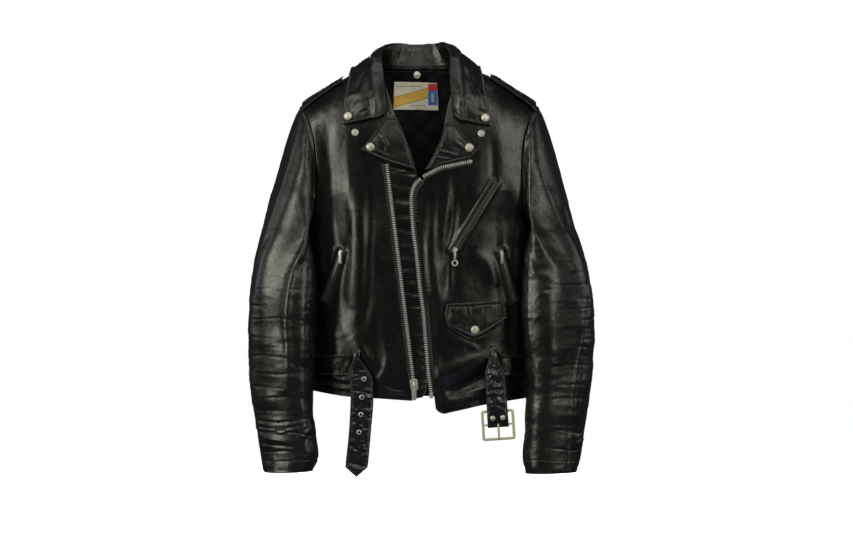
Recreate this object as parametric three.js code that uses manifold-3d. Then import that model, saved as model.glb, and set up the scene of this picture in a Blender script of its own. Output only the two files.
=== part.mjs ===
// Leather riding jacket, hanging open, as an assembly of separate pieces.
// Millimetres. +Z up, the front faces -Y, +X is the wearer's left.
// Origin: the hanger point, mid depth, level with the neck end of the shoulder line.
import * as THREE from 'three';
import Module from 'manifold-3d';

const wasm = await Module();
wasm.setup();

// ---------------------------------------------------------------- driving dimensions
const LEATHER = 2.5;            // shell leather with its facing
const SIDE_X = 208;             // half width of the body below the armholes
const ARM_W = 27;               // extra half width of the body surface at armhole level
const ARMPIT_Z = -262;          // lowest point of the armholes
const TIP_X = 213, TIP_Z = -42; // shoulder tips
const NECK_X = 74, NECK_Z = 33; // neck end of the shoulder seams
const ROLL_Z0 = -120;           // height where the body starts to round over into the shoulders
const FRONT_HEM_DEPTH = 62, FRONT_DEPTH = 68;
const BACK_HEM_DEPTH = 57, BACK_DEPTH = 62;
const SECTION_N = 2.5, ROLL_M = 2.2;
const TEETH_W = 6.3, TEETH_T = 3.0;        // main zip
const SMALL_TEETH_W = 4.6, SMALL_TEETH_T = 2.0;
const BELT_Z0 = -533, BELT_Z1 = -495;
const CAP_R = 7.85, STUD_R = 6.5;

// ---------------------------------------------------------------- materials
const mat = (color, roughness, metalness) => new THREE.MeshStandardMaterial({ color, roughness, metalness });
const leather = mat(0x14130f, 0.42, 0), liningMat = mat(0x0b0b0d, 0.8, 0), metal = mat(0xc9c6bd, 0.28, 1);
const teethMat = mat(0xb9b7ae, 0.35, 1), brassy = mat(0xd2c9a6, 0.3, 1), labelMat = mat(0xe4dcc2, 0.75, 0);

const jacket = new THREE.Group();
const add = (name, geometry, material) => {
  const mesh = new THREE.Mesh(geometry, material);
  mesh.name = name;
  jacket.add(mesh);
  return mesh;
};

// ---------------------------------------------------------------- small tools
const V = (x, y, z) => new THREE.Vector3(x, y, z);
const clamp = (x, a, b) => Math.min(b, Math.max(a, x));
const smooth = (a, b, x) => { const t = clamp((x - a) / (b - a), 0, 1); return t * t * (3 - 2 * t); };

// Smooth interpolation of table rows [key, value, value, ...] with rising keys.
function track(rows) {
  const n = rows.length, m = rows[0].length - 1, slope = [];
  for (let i = 0; i < n; i++) {
    const s = [];
    for (let c = 1; c <= m; c++) {
      if (i === 0) s.push((rows[1][c] - rows[0][c]) / (rows[1][0] - rows[0][0]));
      else if (i === n - 1) s.push((rows[i][c] - rows[i - 1][c]) / (rows[i][0] - rows[i - 1][0]));
      else {
        const h0 = rows[i][0] - rows[i - 1][0], h1 = rows[i + 1][0] - rows[i][0];
        const d0 = (rows[i][c] - rows[i - 1][c]) / h0, d1 = (rows[i + 1][c] - rows[i][c]) / h1;
        s.push((d0 * h1 + d1 * h0) / (h0 + h1));
      }
    }
    slope.push(s);
  }
  return (k) => {
    k = clamp(k, rows[0][0], rows[n - 1][0]);
    let i = 0;
    while (i < n - 2 && k > rows[i + 1][0]) i++;
    const h = rows[i + 1][0] - rows[i][0], t = (k - rows[i][0]) / h, out = [];
    const t2 = t * t, t3 = t2 * t;
    for (let c = 0; c < m; c++) {
      out.push((2 * t3 - 3 * t2 + 1) * rows[i][c + 1] + (t3 - 2 * t2 + t) * h * slope[i][c]
        + (-2 * t3 + 3 * t2) * rows[i + 1][c + 1] + (t3 - t2) * h * slope[i + 1][c]);
    }
    return m === 1 ? out[0] : out;
  };
}
// Curve through points, by fraction of its length.
function curve(points) {
  const rows = [[0, ...points[0]]];
  for (let i = 1; i < points.length; i++) {
    let d = 0;
    for (let c = 0; c < points[i].length; c++) d += (points[i][c] - points[i - 1][c]) ** 2;
    rows.push([rows[i - 1][0] + Math.sqrt(d), ...points[i]]);
  }
  const total = rows[rows.length - 1][0];
  const f = track(rows);
  return (t) => f(t * total);
}

// ---------------------------------------------------------------- body surface
const shoulderZ = track([[0, 80], [35, 68], [60, 45], [75, 32], [100, 22], [135, 8], [175, -17], [200, -33], [215, -43], [240, -61]]);
const halfWidth = (z) => SIDE_X + ARM_W * smooth(ARMPIT_Z, -200, z);
const sideDepth = (side, z) => {
  const t = clamp((z + 600) / 400, 0, 1);
  return side < 0 ? FRONT_HEM_DEPTH + (FRONT_DEPTH - FRONT_HEM_DEPTH) * t : BACK_HEM_DEPTH + (BACK_DEPTH - BACK_HEM_DEPTH) * t;
};
function depth(side, x, z) {
  const a = Math.abs(x), w = halfWidth(z), top = shoulderZ(a);
  const q = clamp(a / w, 0, 1), r = clamp((z - ROLL_Z0) / (top - ROLL_Z0), 0, 1);
  return sideDepth(side, z) * Math.pow(1 - Math.pow(q, SECTION_N), 1 / SECTION_N) * Math.pow(1 - Math.pow(r, ROLL_M), 1 / ROLL_M);
}
const topZ = (x, y) => { // height of the shoulder surface above (x, y)
  const a = Math.abs(x), d = (y < 0 ? FRONT_DEPTH : BACK_DEPTH) * Math.pow(1 - Math.pow(a / (SIDE_X + ARM_W), SECTION_N), 1 / SECTION_N);
  return ROLL_Z0 + (shoulderZ(a) - ROLL_Z0) * Math.pow(1 - Math.pow(Math.abs(y) / d, ROLL_M), 1 / ROLL_M);
};
function bodyNormal(side, x, z) {
  const h = 0.8;
  const dx = (depth(side, x + h, z) - depth(side, x - h, z)) / (2 * h);
  const dz = (depth(side, x, z + h) - depth(side, x, z - h)) / (2 * h);
  return V(-dx, side, -dz).normalize();
}
const onBody = (side, x, z, off = 0) => V(x, side * depth(side, x, z), z).addScaledVector(bodyNormal(side, x, z), off);
// Point of the body's level section: angle 0 = +X side, 90 = back, 270 = front centre.
function ringPoint(deg, z, off) {
  const a = deg * Math.PI / 180, c = Math.cos(a), s = Math.sin(a), w = halfWidth(z);
  const side = s < 0 ? -1 : 1, d = sideDepth(side, z);
  const x = w * Math.sign(c) * Math.pow(Math.abs(c), 2 / SECTION_N), y = d * side * Math.pow(Math.abs(s), 2 / SECTION_N);
  const n = V(Math.sign(x) * Math.pow(Math.abs(x / w), SECTION_N - 1) / w, Math.sign(y) * Math.pow(Math.abs(y / d), SECTION_N - 1) / d, 0).normalize();
  return V(x, y, z).addScaledVector(n, off);
}

// ---------------------------------------------------------------- solid builders
function closedGeometry(pos, tri) {
  let vol = 0;
  for (let t = 0; t < tri.length; t += 3) {
    const a = pos[tri[t]], b = pos[tri[t + 1]], c = pos[tri[t + 2]];
    vol += a.x * (b.y * c.z - b.z * c.y) + a.y * (b.z * c.x - b.x * c.z) + a.z * (b.x * c.y - b.y * c.x);
  }
  if (vol < 0) for (let t = 0; t < tri.length; t += 3) { const s = tri[t + 1]; tri[t + 1] = tri[t + 2]; tri[t + 2] = s; }
  const g = new THREE.BufferGeometry();
  g.setAttribute('position', new THREE.BufferAttribute(new Float32Array(pos.flatMap((p) => [p.x, p.y, p.z])), 3));
  g.setIndex(tri);
  g.computeVertexNormals();
  return g;
}
function gridNormals(P, wrap = false, fix = null) {
  const nu = P.length, nv = P[0].length, N = [];
  for (let i = 0; i < nu; i++) {
    N.push([]);
    for (let j = 0; j < nv; j++) {
      const i0 = wrap ? (i + nu - 1) % nu : Math.max(0, i - 1), i1 = wrap ? (i + 1) % nu : Math.min(nu - 1, i + 1);
      const j0 = Math.max(0, j - 1), j1 = Math.min(nv - 1, j + 1);
      const n = V().crossVectors(P[i1][j].clone().sub(P[i0][j]), P[i][j1].clone().sub(P[i][j0])).normalize();
      N[i].push(n);
    }
  }
  if (fix) fix(N);
  return N;
}
// Sheet between two offsets of a grid surface; keep(i, j) leaves cells out.
function sheet(P, N, outer, inner, { wrap = false, keep = () => true } = {}) {
  const nu = P.length, nv = P[0].length, pos = [], tri = [], map = new Map();
  const id = (i, j, k) => {
    const key = ((i % nu) * nv + j) * 2 + k;
    if (!map.has(key)) { map.set(key, pos.length); pos.push(P[i % nu][j].clone().addScaledVector(N[i % nu][j], k ? inner : outer)); }
    return map.get(key);
  };
  const cu = wrap ? nu : nu - 1;
  const has = (i, j) => (wrap ? true : i >= 0 && i < cu) && j >= 0 && j < nv - 1 && keep((i + nu) % nu, j);
  for (let i = 0; i < cu; i++) for (let j = 0; j < nv - 1; j++) {
    if (!keep(i, j)) continue;
    const c = [[i, j], [i + 1, j], [i + 1, j + 1], [i, j + 1]];
    const o = c.map(([a, b]) => id(a, b, 0)), n = c.map(([a, b]) => id(a, b, 1));
    tri.push(o[0], o[1], o[2], o[0], o[2], o[3], n[0], n[2], n[1], n[0], n[3], n[2]);
    const open = [!has(i, j - 1), !has(i + 1, j), !has(i, j + 1), !has(i - 1, j)];
    for (let e = 0; e < 4; e++) if (open[e]) {
      const f = (e + 1) % 4;
      tri.push(o[f], o[e], n[e], o[f], n[e], n[f]);
    }
  }
  return closedGeometry(pos, tri);
}
// Four-sided patch between boundary curves, as a grid of [x, z].
function coons(B, T, L, R, us, vs) {
  return us.map((u, i) => vs.map((v, j) => [0, 1].map((c) => (1 - v) * B[i][c] + v * T[i][c] + (1 - u) * L[j][c] + u * R[j][c]
    - ((1 - u) * (1 - v) * B[0][c] + u * (1 - v) * B[us.length - 1][c] + (1 - u) * v * T[0][c] + u * v * T[us.length - 1][c]))));
}
const steps = (n, f = (t) => t) => Array.from({ length: n + 1 }, (_, i) => f(i / n));
// Patch that follows the body surface, given by its four edge curves in [x, z].
function bodyPatch(side, bottom, top, left, right, nu, nv, outer, inner) {
  const us = steps(nu), vs = steps(nv), b = curve(bottom), t = curve(top), l = curve(left), r = curve(right);
  const G = coons(us.map(b), us.map(t), vs.map(l), vs.map(r), us, vs);
  return sheet(G.map((c) => c.map(([x, z]) => onBody(side, x, z))), G.map((c) => c.map(([x, z]) => bodyNormal(side, x, z))), outer, inner);
}
// Band of constant width that follows a path on the body surface.
function bodyBand(side, path, halfWide, n, outer, inner) {
  const c = curve(path), P = [[], []], N = [[], []];
  for (let k = 0; k <= n; k++) {
    const t = k / n, p = c(t), a = c(Math.max(0, t - 0.01)), b = c(Math.min(1, t + 0.01));
    const l = Math.hypot(b[0] - a[0], b[1] - a[1]), nx = -(b[1] - a[1]) / l, nz = (b[0] - a[0]) / l;
    [-1, 1].forEach((s, i) => {
      const x = p[0] + s * halfWide * nx, z = p[1] + s * halfWide * nz;
      P[i].push(onBody(side, x, z)); N[i].push(bodyNormal(side, x, z));
    });
  }
  return sheet(P, N, outer, inner);
}
// Flat plate: outline in [x, z], between y0 and y1.
function plate(outline, y0, y1, holes = []) {
  const shape = new THREE.Shape(outline.map(([x, z]) => new THREE.Vector2(x, z)));
  for (const h of holes) shape.holes.push(new THREE.Path(h.map(([x, z]) => new THREE.Vector2(x, z))));
  const g = new THREE.ExtrudeGeometry(shape, { depth: y1 - y0, bevelEnabled: false });
  g.rotateX(Math.PI / 2);
  g.translate(0, y1, 0);
  return g;
}
const circle = (cx, cz, r, n) => Array.from({ length: n }, (_, i) => [cx + r * Math.cos(2 * Math.PI * i / n), cz + r * Math.sin(2 * Math.PI * i / n)]);
const box = (x0, x1, y0, y1, z0, z1) => { const g = new THREE.BoxGeometry(x1 - x0, y1 - y0, z1 - z0); g.translate((x0 + x1) / 2, (y0 + y1) / 2, (z0 + z1) / 2); return g; };
// Frame matrix with Z along n and X along u.
function frameAt(p, n, u) {
  const z = n.clone().normalize(), x = u.clone().addScaledVector(z, -u.dot(z)).normalize(), y = V().crossVectors(z, x);
  return new THREE.Matrix4().makeBasis(x, y, z).setPosition(p);
}
// Turned button standing on a surface point, its axis along the normal.
function button(p, n, profile, segs = 12) {
  const g = new THREE.LatheGeometry(profile.map(([r, h]) => new THREE.Vector2(r, h)), segs);
  g.rotateX(Math.PI / 2);
  g.applyMatrix4(frameAt(p, n, V(1, 0.01, 0.02)));
  return g;
}
const capProfile = (r, h) => [[0, 0], [r * 0.92, 0], [r, h * 0.35], [r * 0.8, h * 0.85], [r * 0.4, h], [0, h]];
function toManifold(geometry) {
  const src = geometry.index ? geometry.toNonIndexed() : geometry, p = src.attributes.position, key = new Map(), verts = [], tris = [];
  for (let i = 0; i < p.count; i++) {
    const k = [p.getX(i), p.getY(i), p.getZ(i)].map((v) => Math.round(v * 1e4)).join();
    if (!key.has(k)) { key.set(k, verts.length / 3); verts.push(p.getX(i), p.getY(i), p.getZ(i)); }
    tris.push(key.get(k));
  }
  return new wasm.Manifold(new wasm.Mesh({ numProp: 3, vertProperties: new Float32Array(verts), triVerts: new Uint32Array(tris) }));
}
function fromManifold(m) {
  const mesh = m.getMesh(), g = new THREE.BufferGeometry();
  g.setAttribute('position', new THREE.BufferAttribute(new Float32Array(mesh.vertProperties), 3));
  g.setIndex(Array.from(mesh.triVerts));
  g.computeVertexNormals();
  return g;
}
const join = (...gs) => fromManifold(gs.map(toManifold).reduce((a, b) => a.add(b)));
const cut = (g, ...cs) => fromManifold(cs.map(toManifold).reduce((a, b) => a.subtract(b), toManifold(g)));

// ---------------------------------------------------------------- outlines on the body, [z, x] or [x, z]
const armholeFront = track([[-262, 208], [-256, 201], [-245, 193.5], [-225, 188], [-200, 186], [-170, 185.5], [-140, 186], [-105, 190], [-76, 198], [-56, 206], [-42, 213]]);
const armholeBack = track([[-262, 208], [-256, 203], [-245, 199.5], [-225, 196.5], [-200, 194.5], [-170, 193.5], [-140, 193.5], [-105, 196], [-76, 202], [-56, 208], [-42, 213]]);
const MAIN_A = [-7.5, -560], MAIN_B = [-58, -151];            // wearer's right stringer, bottom and top
const stringerX = (z) => MAIN_A[0] + (z - MAIN_A[1]) * (MAIN_B[0] - MAIN_A[0]) / (MAIN_B[1] - MAIN_A[1]);
const leftEdge = track([[-592, 30], [-567, 27], [-522, 21], [-486, 18], [-450, 15], [-414, 12], [-378, 7], [-342, 3], [-306, -1], [-270, -6], [-234, -8], [-205, -6], [-185, 4], [-167, 16], [-125, 30], [-108, 38], [-79, 45], [-45, 52], [0, 64], [NECK_Z, NECK_X]]);
const rightEdge = track([[-578, stringerX(-578) - 9.6], [-450, stringerX(-450) - 9.6], [-300, stringerX(-300) - 9.6], [-170, stringerX(-170) - 9.6], [-140, stringerX(-140) - 9], [-120, -50], [-105, -35], [-85, -37], [-60, -44], [-40, -50], [0, -63], [NECK_Z, -NECK_X]]);
const leftHem = track([[30, -592], [43, -601], [115, -586], [SIDE_X, -572]]);
const rightHem = track([[15, -578], [70, -574], [124, -571], [SIDE_X, -558]]);
const ARM_STEPS = 8;
const armRow = (k) => (ARMPIT_Z + TIP_Z) / 2 - (TIP_Z - ARMPIT_Z) / 2 * Math.cos(Math.PI * k / ARM_STEPS);
const LOW_ROWS = 7;
const SEAM_Y = 0.25; // half of the gap between front and back panels at their seams

function panelGrid(side, xz) {
  return xz.map((c) => c.map(([x, z]) => V(x, side * (depth(side, x, z) + SEAM_Y), z)));
}
const seamFix = (P) => (N) => N.forEach((c, i) => c.forEach((n, j) => { if (Math.abs(P[i][j].y) < 1) { n.y = 0; n.normalize(); } }));
function frontPanel(s, edge, hem, neckRows, hemFrontZ) {
  const nu = 10, us = steps(nu, (t) => Math.sin(Math.PI / 2 * t));
  const L = [], R = [];
  const hemSide = hem(SIDE_X);
  for (let k = 0; k < LOW_ROWS; k++) {
    const t = k / LOW_ROWS, zf = hemFrontZ + (ARMPIT_Z - hemFrontZ) * t;
    L.push([edge(zf), zf]);
    R.push([s * SIDE_X, hemSide + (ARMPIT_Z - hemSide) * t]);
  }
  for (let k = 0; k <= ARM_STEPS; k++) {
    L.push([edge(neckRows[k]), neckRows[k]]);
    const z = armRow(k);
    R.push([s * armholeFront(z), z]);
  }
  const nv = L.length - 1, vs = steps(nv);
  const x0 = Math.abs(L[0][0]) * Math.sign(L[0][0]) * s;
  const B = us.map((u) => { const x = x0 + (SIDE_X - x0) * u; return [s * x, hem(x)]; });
  const T = us.map((u) => { const x = NECK_X + (TIP_X - NECK_X) * u; return [s * x, shoulderZ(x)]; });
  T[0] = L[nv]; T[nu] = R[nv];
  B[0] = L[0];
  const P = panelGrid(-1, coons(B, T, L, R, us, vs));
  for (let i = 0; i <= nu; i++) P[i][nv].y = -SEAM_Y;
  for (let j = 0; j <= LOW_ROWS; j++) P[nu][j].y = -SEAM_Y;
  const N = gridNormals(P, false, seamFix(P));
  if (N[4][4].y > 0) N.forEach((c) => c.forEach((n) => n.negate()));
  return sheet(P, N, 0, -LEATHER);
}
const neckRows = [ARMPIT_Z, -225, -195, -165, -130, -95, -55, -10, NECK_Z];
add('left_front_panel', frontPanel(1, leftEdge, leftHem, neckRows, -592), leather);
add('right_front_panel', frontPanel(-1, rightEdge, rightHem, neckRows, -578), leather);

// back panel
{
  const nu = 18, us = steps(nu, (t) => 0.5 - 0.5 * Math.cos(Math.PI * t)), L = [], R = [];
  for (let k = 0; k < LOW_ROWS; k++) {
    const t = k / LOW_ROWS;
    L.push([-SIDE_X, -558 + (ARMPIT_Z + 558) * t]);
    R.push([SIDE_X, -572 + (ARMPIT_Z + 572) * t]);
  }
  for (let k = 0; k <= ARM_STEPS; k++) { const z = armRow(k); L.push([-armholeBack(z), z]); R.push([armholeBack(z), z]); }
  const nv = L.length - 1, vs = steps(nv);
  const topEdge = curve([[-TIP_X, TIP_Z], [-175, shoulderZ(175)], [-135, shoulderZ(135)], [-100, shoulderZ(100)], [-NECK_X, NECK_Z], [-55, 31], [-30, 30], [0, 30], [30, 30], [55, 31], [NECK_X, NECK_Z], [100, shoulderZ(100)], [135, shoulderZ(135)], [175, shoulderZ(175)], [TIP_X, TIP_Z]]);
  const B = us.map((u) => [-SIDE_X + 2 * SIDE_X * u, -558 - 14 * u - 8 * Math.sin(Math.PI * u)]);
  const T = us.map((u) => { const p = topEdge(u), a = Math.abs(p[0]); return a > NECK_X ? [p[0], shoulderZ(a)] : p; });
  T[0] = L[nv]; T[nu] = R[nv];
  const P = panelGrid(1, coons(B, T, L, R, us, vs));
  for (let i = 0; i <= nu; i++) if (Math.abs(P[i][nv].x) >= NECK_X) P[i][nv].y = SEAM_Y;
  for (let j = 0; j <= LOW_ROWS; j++) { P[0][j].y = SEAM_Y; P[nu][j].y = SEAM_Y; }
  const N = gridNormals(P, false, seamFix(P));
  if (N[9][4].y < 0) N.forEach((c) => c.forEach((n) => n.negate()));
  add('back_panel', sheet(P, N, 0, -LEATHER), leather);
}

// storm flap behind the opening, sewn to the right panel
add('storm_flap', bodyPatch(-1,
  [[-24, -573], [8, -571]], [[-56, -122], [-16, -122]],
  [[-24, -573], [stringerX(-450) - 18, -450], [stringerX(-300) - 18, -300], [stringerX(-170) - 18, -170], [-56, -122]],
  [[8, -571], [14, -555], [14, -450], [6, -300], [2, -200], [-6, -160], [-16, -122]], 2, 9, -5, -7.5), leather);

// body lining: one skin round the inside, joined through the sides below the armholes
{
  const zs = [-550, -478, -406, -334, -272, -215, -160, -115, -75, -55, -35, -15, 5, 24];
  const front = steps(6, (t) => Math.sin(Math.PI / 2 * t)), back = steps(10, (t) => -Math.cos(Math.PI * t));
  const P = [], N = [], cols = [];
  const put = (side, fx) => {
    const p = [], n = [];
    zs.forEach((z) => { const x = fx(z); p.push(onBody(side, x, z)); n.push(Math.abs(Math.abs(x) - SIDE_X) < 0.01 && z < ARMPIT_Z ? V(Math.sign(x), 0, 0) : bodyNormal(side, x, z)); });
    p.forEach((q, k) => { if (Math.abs(Math.abs(q.x) - SIDE_X) < 0.01 && zs[k] < ARMPIT_Z) q.y = 0; });
    P.push(p); N.push(n); cols.push(side);
  };
  for (let k = 0; k < 6; k++) put(-1, (z) => { const x0 = Math.max(leftEdge(Math.min(z, -80)) + 14, 14); return x0 + (SIDE_X - x0) * front[k]; });
  for (let k = 10; k >= 0; k--) put(1, () => back[k] * SIDE_X);
  for (let k = 5; k >= 0; k--) put(-1, (z) => { const x0 = -rightEdge(Math.min(z, -80)) + 14; return -(x0 + (SIDE_X - x0) * front[k]); });
  const keep = (i, j) => {
    const back2 = i >= 6 && i < 16;
    if (zs[j + 1] > -100 && !back2) return false;
    if (zs[j + 1] > ARMPIT_Z) {
      for (const k of [i, i + 1]) if (Math.abs(P[k][j + 1].x) > 172) return false;
      if (zs[j + 1] > -20) for (const k of [i, i + 1]) if (Math.abs(P[k][j + 1].x) > (zs[j + 1] > 20 ? 70 : 110)) return false;
    }
    return true;
  };
  add('body_lining', sheet(P, N, -10, -11.5, { keep }), liningMat);
}

// ---------------------------------------------------------------- collar: stand, roll and fall in one sheet
{
  const ob = (x, z, off) => { const p = onBody(-1, x, z, off); return [p.x, p.y, p.z]; };
  const st = [ // [stand seam, roll line, fall edge]
    [ob(-75, -62, 2.8), ob(-60, -61, 7), ob(-139, -81, 7)],
    [ob(-76, -35, 2.8), ob(-61, -30, 8), ob(-136, -55, 7.5)],
    [ob(-76, -4, 3.5), [-66, -48, 15], ob(-131, -20, 8)],
    [[-77, -16, 38], [-69, -25, 46], [-125, -14, 23]],
    [[-74, 8, 42], [-66, 2, 62], [-119, 8, 27]],
    [[-62, 27, 40], [-61, 22, 70], [-104, 34, 21]],
    [[-36, 40, 37], [-40, 40, 74], [-62, 58, 13]],
    [[0, 46, 36], [-8, 51, 70.5], [0, 64, 10]],
    [[36, 40, 37], [28, 46, 73], [62, 58, 13]],
    [[62, 27, 40], [45, 24, 75], [100, 36, 22]],
    [[74, 8, 42], [52, 4, 66], [111, 10, 28]],
    [[77, -16, 38], [57, -22, 48], [114, -14, 25]],
    [ob(76, -4, 3.5), [57, -48, 15], ob(120, -22, 8)],
    [ob(76, -35, 2.8), ob(59, -30, 8), ob(125, -52, 7.5)],
    [ob(78, -64, 2.8), ob(63, -65, 7), ob(130, -83, 7)],
  ];
  const rows = st.map((s, k) => [k, ...s[0], ...s[1], ...s[2]]), f = track(rows), n = 24, P = [];
  for (let k = 0; k <= n; k++) {
    const v = f(k * (st.length - 1) / n), S = V(v[0], v[1], v[2]), R = V(v[3], v[4], v[5]), E = V(v[6], v[7], v[8]);
    const up = R.clone().sub(S.clone().add(E).multiplyScalar(0.5)).normalize();
    const out = E.clone().sub(S); out.addScaledVector(up, -out.dot(up)).normalize();
    const a = R.clone().addScaledVector(up, -4).addScaledVector(out, -3.4), b = R.clone().addScaledVector(up, -4).addScaledVector(out, 3.4);
    const m1 = b.clone().lerp(E, 0.33).addScaledVector(out, 3), m2 = b.clone().lerp(E, 0.68).addScaledVector(out, 2);
    P.push([S, a, R, b, m1, m2, E]);
  }
  const N = gridNormals(P);
  if (N[12][2].z < 0) N.forEach((c) => c.forEach((m) => m.negate()));
  add('collar', sheet(P, N, 0, -LEATHER), leather);
}

// ---------------------------------------------------------------- lapels (turned back on their roll lines)
const LAPEL_OUT = 6.2, LAPEL_IN = 3.7;
add('left_lapel', bodyPatch(-1, [[10, -162], [20, -160], [38, -153], [56, -149], [74, -145], [92, -140], [108, -126]], [[45, -79], [67, -79]],
  [[10, -162], [38, -108], [45, -79]], [[108, -126], [86, -104], [67, -79]], 7, 4, LAPEL_OUT, LAPEL_IN), leather);
add('right_lapel', bodyPatch(-1, [[-6, -162], [-63, -144], [-104, -126]], [[-38, -68], [-59, -68]],
  [[-6, -162], [-23, -108], [-38, -68]], [[-104, -126], [-82, -98], [-59, -68]], 7, 4, LAPEL_OUT, LAPEL_IN), leather);

// ---------------------------------------------------------------- epaulettes
for (const s of [1, -1]) {
  const P = [], inner = s > 0 ? 130 : 140;
  for (let i = 0; i <= 6; i++) {
    const t = i / 6, x = inner + (210 - inner) * t, w0 = -24, w1 = 10 + 4 * t;
    P.push(steps(5, (v) => { const y = w0 + (w1 - w0) * v; return V(s * x, y, topZ(x, y)); }));
  }
  const N = gridNormals(P);
  if (N[3][2].z < 0) N.forEach((c) => c.forEach((m) => m.negate()));
  add(s > 0 ? 'left_epaulette' : 'right_epaulette', sheet(P, N, 5.4, 3), leather);
}

// ---------------------------------------------------------------- sleeves
const SLEEVE_N = 2.3;
// Rows: outer x,y,z, front x,y,z, inner x,y,z, back x,y,z for the armhole part
const capRows = [
  [224, -2, -58, 191, -60, -160, 212.5, -3, -265.5, 201, 47, -155],
  [238, -5, -96, 195, -73, -186, 213, -13, -270, 216, 41, -180],
  [253, -8, -148, 203, -82, -220, 209.5, -36, -279, 226, 30, -216],
  [269, -14, -205, 214, -91, -257, 197.5, -62, -298, 232, 14, -262],
  [286, -22, -262, 229, -97, -300, 189, -77, -327, 234, -1, -308],
];
const tubeRowsLeft = [ // outer x,z, inner x,z, centre y, half depth, yaw
  [303, -330, 186, -352, -58, 45, 27], [316, -396, 184, -400, -62, 44, 27], [319, -450, 186, -450, -64, 43, 27],
  [315, -520, 189, -520, -66, 41, 25], [304, -590, 192, -590, -68, 39, 22], [291, -648, 191, -648, -70, 37, 20],
  [293, -676, 183, -679, -70, 38, 18], [284, -706, 190, -708, -71, 38, 18]];
const tubeRowsRight = [
  [297, -330, 183, -352, -58, 45, 27], [306, -396, 184, -400, -62, 44, 27], [307, -450, 186, -450, -64, 43, 27],
  [306, -520, 188, -520, -66, 41, 25], [300, -590, 189, -590, -68, 39, 22], [289, -648, 180, -648, -70, 38, 20],
  [286, -676, 176, -679, -70, 39, 18], [278, -706, 190, -704, -71, 39, 18]];
function cardinal(row) {
  if (row.length === 12) return [0, 3, 6, 9].map((k) => V(row[k], row[k + 1], row[k + 2]));
  const [ox, oz, ix, iz, cy, b, yaw] = row, e = V(ox - ix, 0, oz - iz), hx = e.length() / 2;
  e.normalize();
  const be = yaw * Math.PI / 180, sb = Math.sin(be), cb = Math.cos(be), a = Math.sqrt(hx * hx - (b * sb) ** 2) / cb;
  const C = V((ox + ix) / 2, cy, (oz + iz) / 2), A = e.clone().multiplyScalar(cb).add(V(0, sb, 0)), K = e.clone().multiplyScalar(-sb).add(V(0, cb, 0));
  return [C.clone().addScaledVector(A, a), C.clone().addScaledVector(K, -b), C.clone().addScaledVector(A, -a), C.clone().addScaledVector(K, b)];
}
function sleeveRing(card, n) {
  const C = card[0].clone().add(card[1]).add(card[2]).add(card[3]).multiplyScalar(0.25), ring = [];
  for (let k = 0; k < n; k++) {
    const q = Math.floor(4 * k / n), a = card[q], b = card[(q + 1) % 4], f = (4 * k / n - q) * Math.PI / 2;
    const e = q === 2 ? 1.8 : SLEEVE_N;
    ring.push(C.clone().addScaledVector(a.clone().sub(C), Math.pow(Math.cos(f), 2 / e)).addScaledVector(b.clone().sub(C), Math.pow(Math.sin(f), 2 / e)));
  }
  return ring;
}
const ARM_GAP = 1.2;
function sleeveGrid(s, tube, n, skip = 1) {
  const rings = [];
  const first = [];
  for (let k = 0; k < n; k++) { // armhole ring: outer top, front, bottom, back
    const f = 2 * Math.PI * k / n, z = (ARMPIT_Z + TIP_Z) / 2 + (TIP_Z - ARMPIT_Z) / 2 * Math.cos(f), front = k <= n / 2;
    const x = (front ? armholeFront : armholeBack)(z), d = (k === 0 || k === n / 2) ? 0 : depth(front ? -1 : 1, x, z);
    first.push(V(x + ARM_GAP, front ? -d : d, z));
  }
  rings.push(first);
  for (const row of [...capRows, ...tube]) rings.push(sleeveRing(cardinal(row), n));
  const P = [];
  for (let k = 0; k < n; k++) P.push(rings.filter((_, j) => j % skip === 0 || j === rings.length - 1).map((r) => V(s * r[k].x, r[k].y, r[k].z)));
  return P;
}
for (const s of [1, -1]) {
  const side = s > 0 ? 'left' : 'right', tube = s > 0 ? tubeRowsLeft : tubeRowsRight;
  for (const [name, n, o, i, m] of [[side + '_sleeve', 16, 0, -LEATHER, leather], [side + '_sleeve_lining', 16, -8, -9.5, liningMat]]) {
    const P = sleeveGrid(s, tube, n);
    const N = gridNormals(P, true);
    if (N[n / 4][8].y > 0) N.forEach((c) => c.forEach((v) => v.negate()));
    if (name.endsWith('lining')) { for (let k = 0; k < n; k++) { P[k] = P[k].slice(3); N[k] = N[k].slice(3); const last = P[k].length - 1; P[k][last].z += 6; } }
    add(name, sheet(P, N, o, i, { wrap: true }), m);
  }
}

// ---------------------------------------------------------------- main zip stringers
add('left_zip_stringer', bodyBand(-1, [[22, -566], [16, -522], [13, -486], [10, -450], [7, -414], [2, -378], [-2, -342], [-6, -306], [-11, -270], [-13.5, -234], [-13, -202], [-7, -187], [3, -177.5]], TEETH_W / 2, 26, 2.2, -0.8), teethMat);
add('left_zip_stringer_lapel', bodyBand(-1, [[11, -171.5], [20, -167], [38, -158], [56, -154], [74, -150], [92, -146.5]], TEETH_W / 2, 8, 6.2, 3.4), teethMat);

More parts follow.
